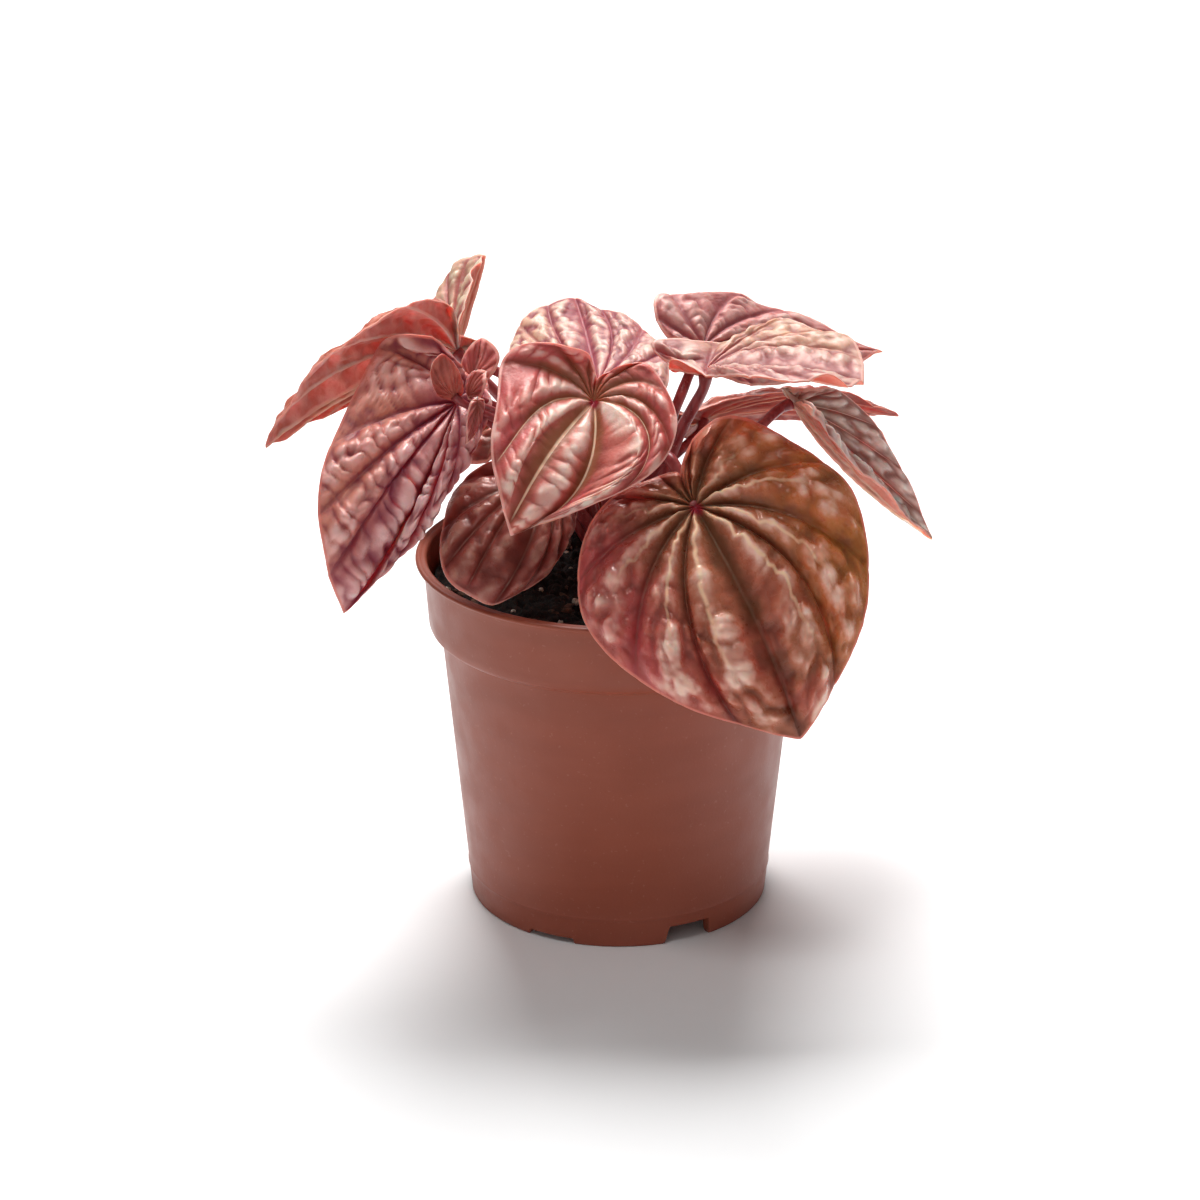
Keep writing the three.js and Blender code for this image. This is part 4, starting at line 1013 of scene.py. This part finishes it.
    side, vein, rib = is_left.astype(int), np.round(strip + u).astype(int), strip.astype(int)
    threads = np.array(leaf.get("threads", np.ones((2, STRIPS + 1))), float)
    # How strongly each rib's crest carries the painted highlight, for each rib of the right half and of the
    # left half.
    streaks = np.array(leaf.get("streaks", np.ones((2, STRIPS))), float)
    under = np.repeat([0, 0.5, 1], [1 + upper[..., 0].size, place.size, lower[..., 0].size + 1])
    values = {
        "rise": over(np.clip(height * (1 - np.exp(-width / 3)), 0, 1.2), 0.3, 0.0),
        "crease": over(crease, 0.0, 0.0),
        "vein_mm": over(from_vein, FAR_MM, 0.0),
        "crest_mm": over(from_crest, FAR_MM, 0.0),
        "margin_mm": over(to_margin, 0.0, 50.0),
        "strip_mm": over(width, FAR_MM, 0.0),
        "thread": over(threads[side, vein], 0.0, 0.0),
        "streak": over(streaks[side, rib], 0.0, 0.0),
        "reach": over(s, 1.0, 0.0),
        "under": under,
    }
    flat = np.stack([over(along, 1.0, 0.0), over(across, 0.0, 0.0)], -1)
    return skin_mesh(name, rings, *poles, values, flat)


def leaf_skin(name, look):
    """A leaf's surface: dark in the grooves and creases, where painted shade lies over the leaf's own
    deeper red, and pale on the puffs, partly with a painted highlight, with a thin line of painted
    highlight along the crests. It is olive along the veins, with pale vein threads, a pale margin line, a
    red spot over the stalk, and a matt underside with pale veins. The flesh lets some light through."""
    skin = Finish(name, tint(look["crest"]), look["rough"])
    ramp, times, noise, combine = skin.ramp, skin.times, skin.noise, skin.combine
    fact = lambda key: skin.node("ShaderNodeAttribute", {}, "Fac", attribute_name=key)
    rise, crease, reach, under = fact("rise"), fact("crease"), fact("reach"), fact("under")
    vein_mm, margin_mm, strip_mm = fact("vein_mm"), fact("margin_mm"), fact("strip_mm")
    crest_mm, thread, streak = combine("ABSOLUTE", fact("crest_mm")), fact("thread"), fact("streak")
    flat = skin.node("ShaderNodeUVMap", {}, "UV", uv_map="flat")
    across = skin.node("ShaderNodeSeparateXYZ", {"Vector": flat}, "Y")
    place = skin.place()
    patch, mottle = noise(place, 125.0, 2.0), noise(place, 230.0, 4.0, 0.6)
    shift = combine("SUBTRACT", mottle, 0.5)
    lift = combine("ADD", rise, times(shift, 0.5))

    blush = ramp(reach, 0.2, 0.75, 0.3 * look["blush_share"], look["blush_share"])
    blush = times(ramp(noise(place, 60.0), 0.42, 0.6), blush)
    left, right = (ramp(across, 0.15 * way, 0.7 * way, 0.0, look["side_share"]) for way in (-1, 1))
    uneven = ramp(mottle, 0.25, 0.6, 0.5, 1.0)
    trough = ramp(combine("ADD", vein_mm, times(shift, 3.0)), look["olive_wide"], 0.4)
    olive = times(times(ramp(reach, look["olive_reach"], 0.2), trough), look["olive_share"])
    # Pale tops of the puffs and ribs, in the crest colour: partly the leaf's own paler tops and partly a
    # painted highlight where the surface rises. It is stronger on ribs with a strong crest streak.
    pale = ramp(lift, look["pale_from"], 0.95, 0.0, look["pale"])
    pale = times(pale, ramp(streak, 0.0, 1.0, 0.6, 1.0))
    pale = times(pale, ramp(patch, 0.38, 0.6, look["pale_least"], 1.0))
    # Painted shade in the cross creases: the groove colour is laid in again where the creases are, over the
    # leaf's own deeper red in them.
    groove = times(ramp(crease, 0.15, 0.9), look["crease_share"])
    # A thin line of painted highlight along each rib's crest near the base, in the streak colour.
    line = times(ramp(crest_mm, look["highlight_streak_wide"], 0.1), ramp(strip_mm, 1.0, 3.0))
    line = times(times(line, streak), ramp(reach, 0.8, 0.45))
    line = times(times(line, ramp(mottle, 0.3, 0.55, 0.4, 1.0)), look["highlight_streak_share"])
    vein = times(ramp(vein_mm, look["vein_wide"], 0.1), ramp(strip_mm, 0.7, 1.6))
    vein = times(times(times(vein, thread), ramp(reach, 0.99, 0.85)), look["vein_share"])
    # The groove colour at the bottom is painted shade in the low parts of the quilting, over the leaf's own
    # deeper red there. The body colour covers it as the surface rises.
    upper = skin.layers(
        look["groove"],
        (ramp(lift, 0.05, 0.65), look["body"]),
        (blush, look["blush"]),
        (times(left, uneven), look.get("left_side", look["body"])),
        (times(right, uneven), look.get("right_side", look["body"])),
        (olive, look["olive"]),
        (pale, look["crest"]),
        (groove, look["groove"]),
        (line, look.get("streak", look["crest"])),
        (vein, look["vein"]),
        (ramp(margin_mm, 1.0, 0.35, 0.0, 0.75), look["margin"]),
        (ramp(combine("ADD", reach, times(shift, 0.03)), 0.05, 0.02), "962838"),
    )
    ridge = combine("MAXIMUM", ramp(vein_mm, 0.9, 0.3), times(crease, 0.35))
    lower = skin.layers(
        look["under"],
        (ramp(mottle, 0.35, 0.65), look["under_pale"]),
        (times(ramp(patch, 0.4, 0.62), 0.6), look["under_dark"]),
        (times(ridge, look["under_share"]), look["under_vein"]),
    )
    skin.give("Base Color", skin.layers(upper, (ramp(under, 0.45, 0.55), lower)))

    rough = ramp(noise(place, 330.0), 0.3, 0.7, look["rough"] - 0.07, look["rough"] + 0.09)
    rough = combine("ADD", rough, times(under, 0.14))
    skin.give("Roughness", combine("ADD", rough, ramp(rise, 0.2, 0.8, 0.1, -0.06)))
    skin.give("Specular Tint", tint("ffd2c4"))
    skin.give("Coat Weight", 0.04)
    skin.give("Coat Roughness", 0.22)
    skin.give("Subsurface Weight", 0.7)
    skin.give("Subsurface Radius", (1.0, 0.3, 0.2))
    skin.give("Subsurface Scale", 0.0018)
    flecks = noise(place, 520.0, 3.0, 0.6)
    skin.bump(combine("ADD", times(noise(place, 1500.0, 2.0), 0.4), flecks), 0.0002, 0.8)
    return skin.material


# A look's shares say how strongly each colour shows. olive_wide, vein_wide and the streak width are the
# widths in mm of the olive band, vein thread and crest streak, and olive_reach says how far out the olive
# goes. The groove colour is painted shade in the low parts and creases, over the leaf's own deeper red
# there. The crest colour of the pale tops is partly a painted highlight, and the streak colour of the crest
# line is a painted highlight.
USUAL_LOOK = dict(
    rough=0.34, pale=0.8, pale_from=0.5, pale_least=0.25, blush_share=0.4, side_share=0, olive_share=0.4,
    olive_wide=3.5, olive_reach=0.95, vein_share=0.05, vein_wide=0.35, crease_share=0.6, highlight_streak_share=0.1,
    highlight_streak_wide=0.9, under="e07c66", under_pale="e69684", under_dark="c05a48", under_vein="f0c4b2",
    under_share=0.75,
)
LOOKS = {
    "bronze": dict(
        slot="leaf_bronze", groove="5e2410", body="b87054", crest="f4d0be", margin="d88878", blush="c45a50",
        blush_share=0.5, left_side="d0843c", right_side="c0505a", side_share=0.6, olive="705034",
        olive_share=0.6, olive_wide=4.5, olive_reach=0.8, vein="b08060", vein_share=0.1, pale=1,
        pale_from=0.53, pale_least=0.35, streak="f8d6b0", highlight_streak_share=0.75, highlight_streak_wide=0.8, rough=0.24,
    ),
    "pink": dict(
        slot="leaf_pink", groove="7c281c", body="c46e62", crest="f0d4c6", margin="eab0a6", blush="b84850",
        blush_share=0.6, olive="946040", olive_share=0.7, olive_wide=2.6, olive_reach=1.3, vein="f0ccac",
        vein_share=0.75, vein_wide=0.34, pale=0.9, pale_from=0.53, pale_least=0.5, streak="f6dccf",
        highlight_streak_share=0.4, highlight_streak_wide=2.2, rough=0.38,
    ),
    "cream": dict(
        slot="leaf_cream", groove="7e3442", body="b4847e", crest="d4c2b2", margin="e4c0b4", blush="b0706a",
        blush_share=0.3, left_side="dcc49c", side_share=0.45, olive="9c4c5c", olive_share=0.7,
        olive_wide=1.4, olive_reach=1.4, vein="e8c8b0", pale_from=0.48, pale_least=0.4, crease_share=1,
        rough=0.5,
    ),
    "mauve": dict(
        slot="leaf_mauve", groove="842c44", body="c48886", crest="e8c6c2", margin="d48c80", blush="a04458",
        blush_share=0.45, right_side="dc987c", side_share=0.65, olive="883c54", olive_share=0.6,
        olive_wide=1.4, olive_reach=1.4, vein="d0a094", pale_from=0.45, pale_least=0.4, crease_share=0.8,
    ),
    "maroon": dict(
        slot="leaf_maroon", groove="5e1812", body="8c463e", crest="bc9080", margin="b87c70", blush="8c2c2c",
        blush_share=0.5, olive="6c4c38", vein="b88c78", vein_share=0.15, pale=0.6, highlight_streak_share=0.3,
    ),
    "terracotta": dict(
        slot="leaf_terracotta", groove="7a3424", body="b4604c", crest="dca090", margin="e0a090",
        blush="b0443c", olive="8c6040", vein="e0b090", vein_share=0.3, pale=0.7, highlight_streak_share=0.3,
        under="d68c7e", under_pale="eab8ae", under_dark="b4645c", under_vein="f2d4c8",
    ),
    "shell": dict(
        slot="leaf_cream", groove="7c343a", body="ac7872", crest="c6ac9e", margin="dcb4a8", blush="a86864",
        blush_share=0.35, left_side="dcc098", side_share=0.55, olive="985058", olive_share=0.55,
        olive_wide=1.4, olive_reach=1.4, vein="e8c8b0", pale_from=0.46, pale_least=0.35, crease_share=0.8,
        rough=0.5,
    ),
    "bud": dict(
        slot="leaf_young", groove="98403c", body="cc867e", crest="ecc4bc", margin="f0b8ac", blush="c05c64",
        olive="a06458", olive_share=0.3, vein="e4b8a0", vein_share=0.1, pale=0.7, highlight_streak_share=0.3,
        under="c86a62", under_pale="d8867c", under_dark="b05048", under_vein="d89088", under_share=0.2,
    ),
    "sand": dict(
        slot="leaf_cream", groove="904c48", body="b8967e", crest="ccc2a8", margin="e0c0b0", blush="b0746c",
        blush_share=0.3, olive="a05c58", olive_share=0.5, olive_wide=1.3, olive_reach=1.4, vein="e8c8b0",
        pale=0.75, pale_from=0.4, pale_least=0.5, crease_share=0.7, rough=0.5,
    ),
    "rose": dict(
        slot="leaf_rose", groove="8c484a", body="ba807a", crest="c8aaa2", margin="dcaca0", blush="b06062",
        blush_share=0.35, olive="94505a", olive_share=0.5, olive_wide=1.3, olive_reach=1.4, vein="dcb4a0",
        vein_share=0.1, pale_from=0.42, pale_least=0.4, rough=0.48,
    ),
    "stone": dict(
        slot="leaf_rose", groove="8c5a50", body="b89c92", crest="ded2c8", margin="e6b4a8", blush="b07068",
        blush_share=0.35, olive="9c8070", vein="e4ccbc", vein_share=0.55, pale_from=0.42, pale_least=0.4,
    ),
    "dusk": dict(
        slot="leaf_dusk", groove="602c24", body="985048", crest="cc9484", margin="d89888", blush="984040",
        olive="80603c", vein="dcb090", vein_share=0.2, pale=0.7, highlight_streak_share=0.3, under="985450",
        under_pale="a86c64", under_dark="80403c", under_vein="bc8c82",
    ),
    "young": dict(
        slot="leaf_young", groove="8c3430", body="b86c64", crest="e0aca4", margin="f0b8ac", blush="b85058",
        olive="946050", olive_share=0.3, vein="e4b8a0", vein_share=0.1, pale=0.7, highlight_streak_share=0.3,
        under="a04c40", under_pale="b06658", under_dark="8c3a32", under_vein="b87c74", under_share=0.15,
    ),
}

for leaf_name, leaf in LEAVES.items():
    blade_name = leaf_name.replace("leaf", "blade")
    look = {**USUAL_LOOK, **LOOKS[leaf["look"]]}
    finish = leaf_skin(f"{leaf['look']} {leaf_name}", look)
    piece(blade_name, blade_mesh(blade_name, leaf), finish, look["slot"], leaf_name)

{"cad": [list(corner) for corner in cad_box], "visual": [list(corner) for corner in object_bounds()]}
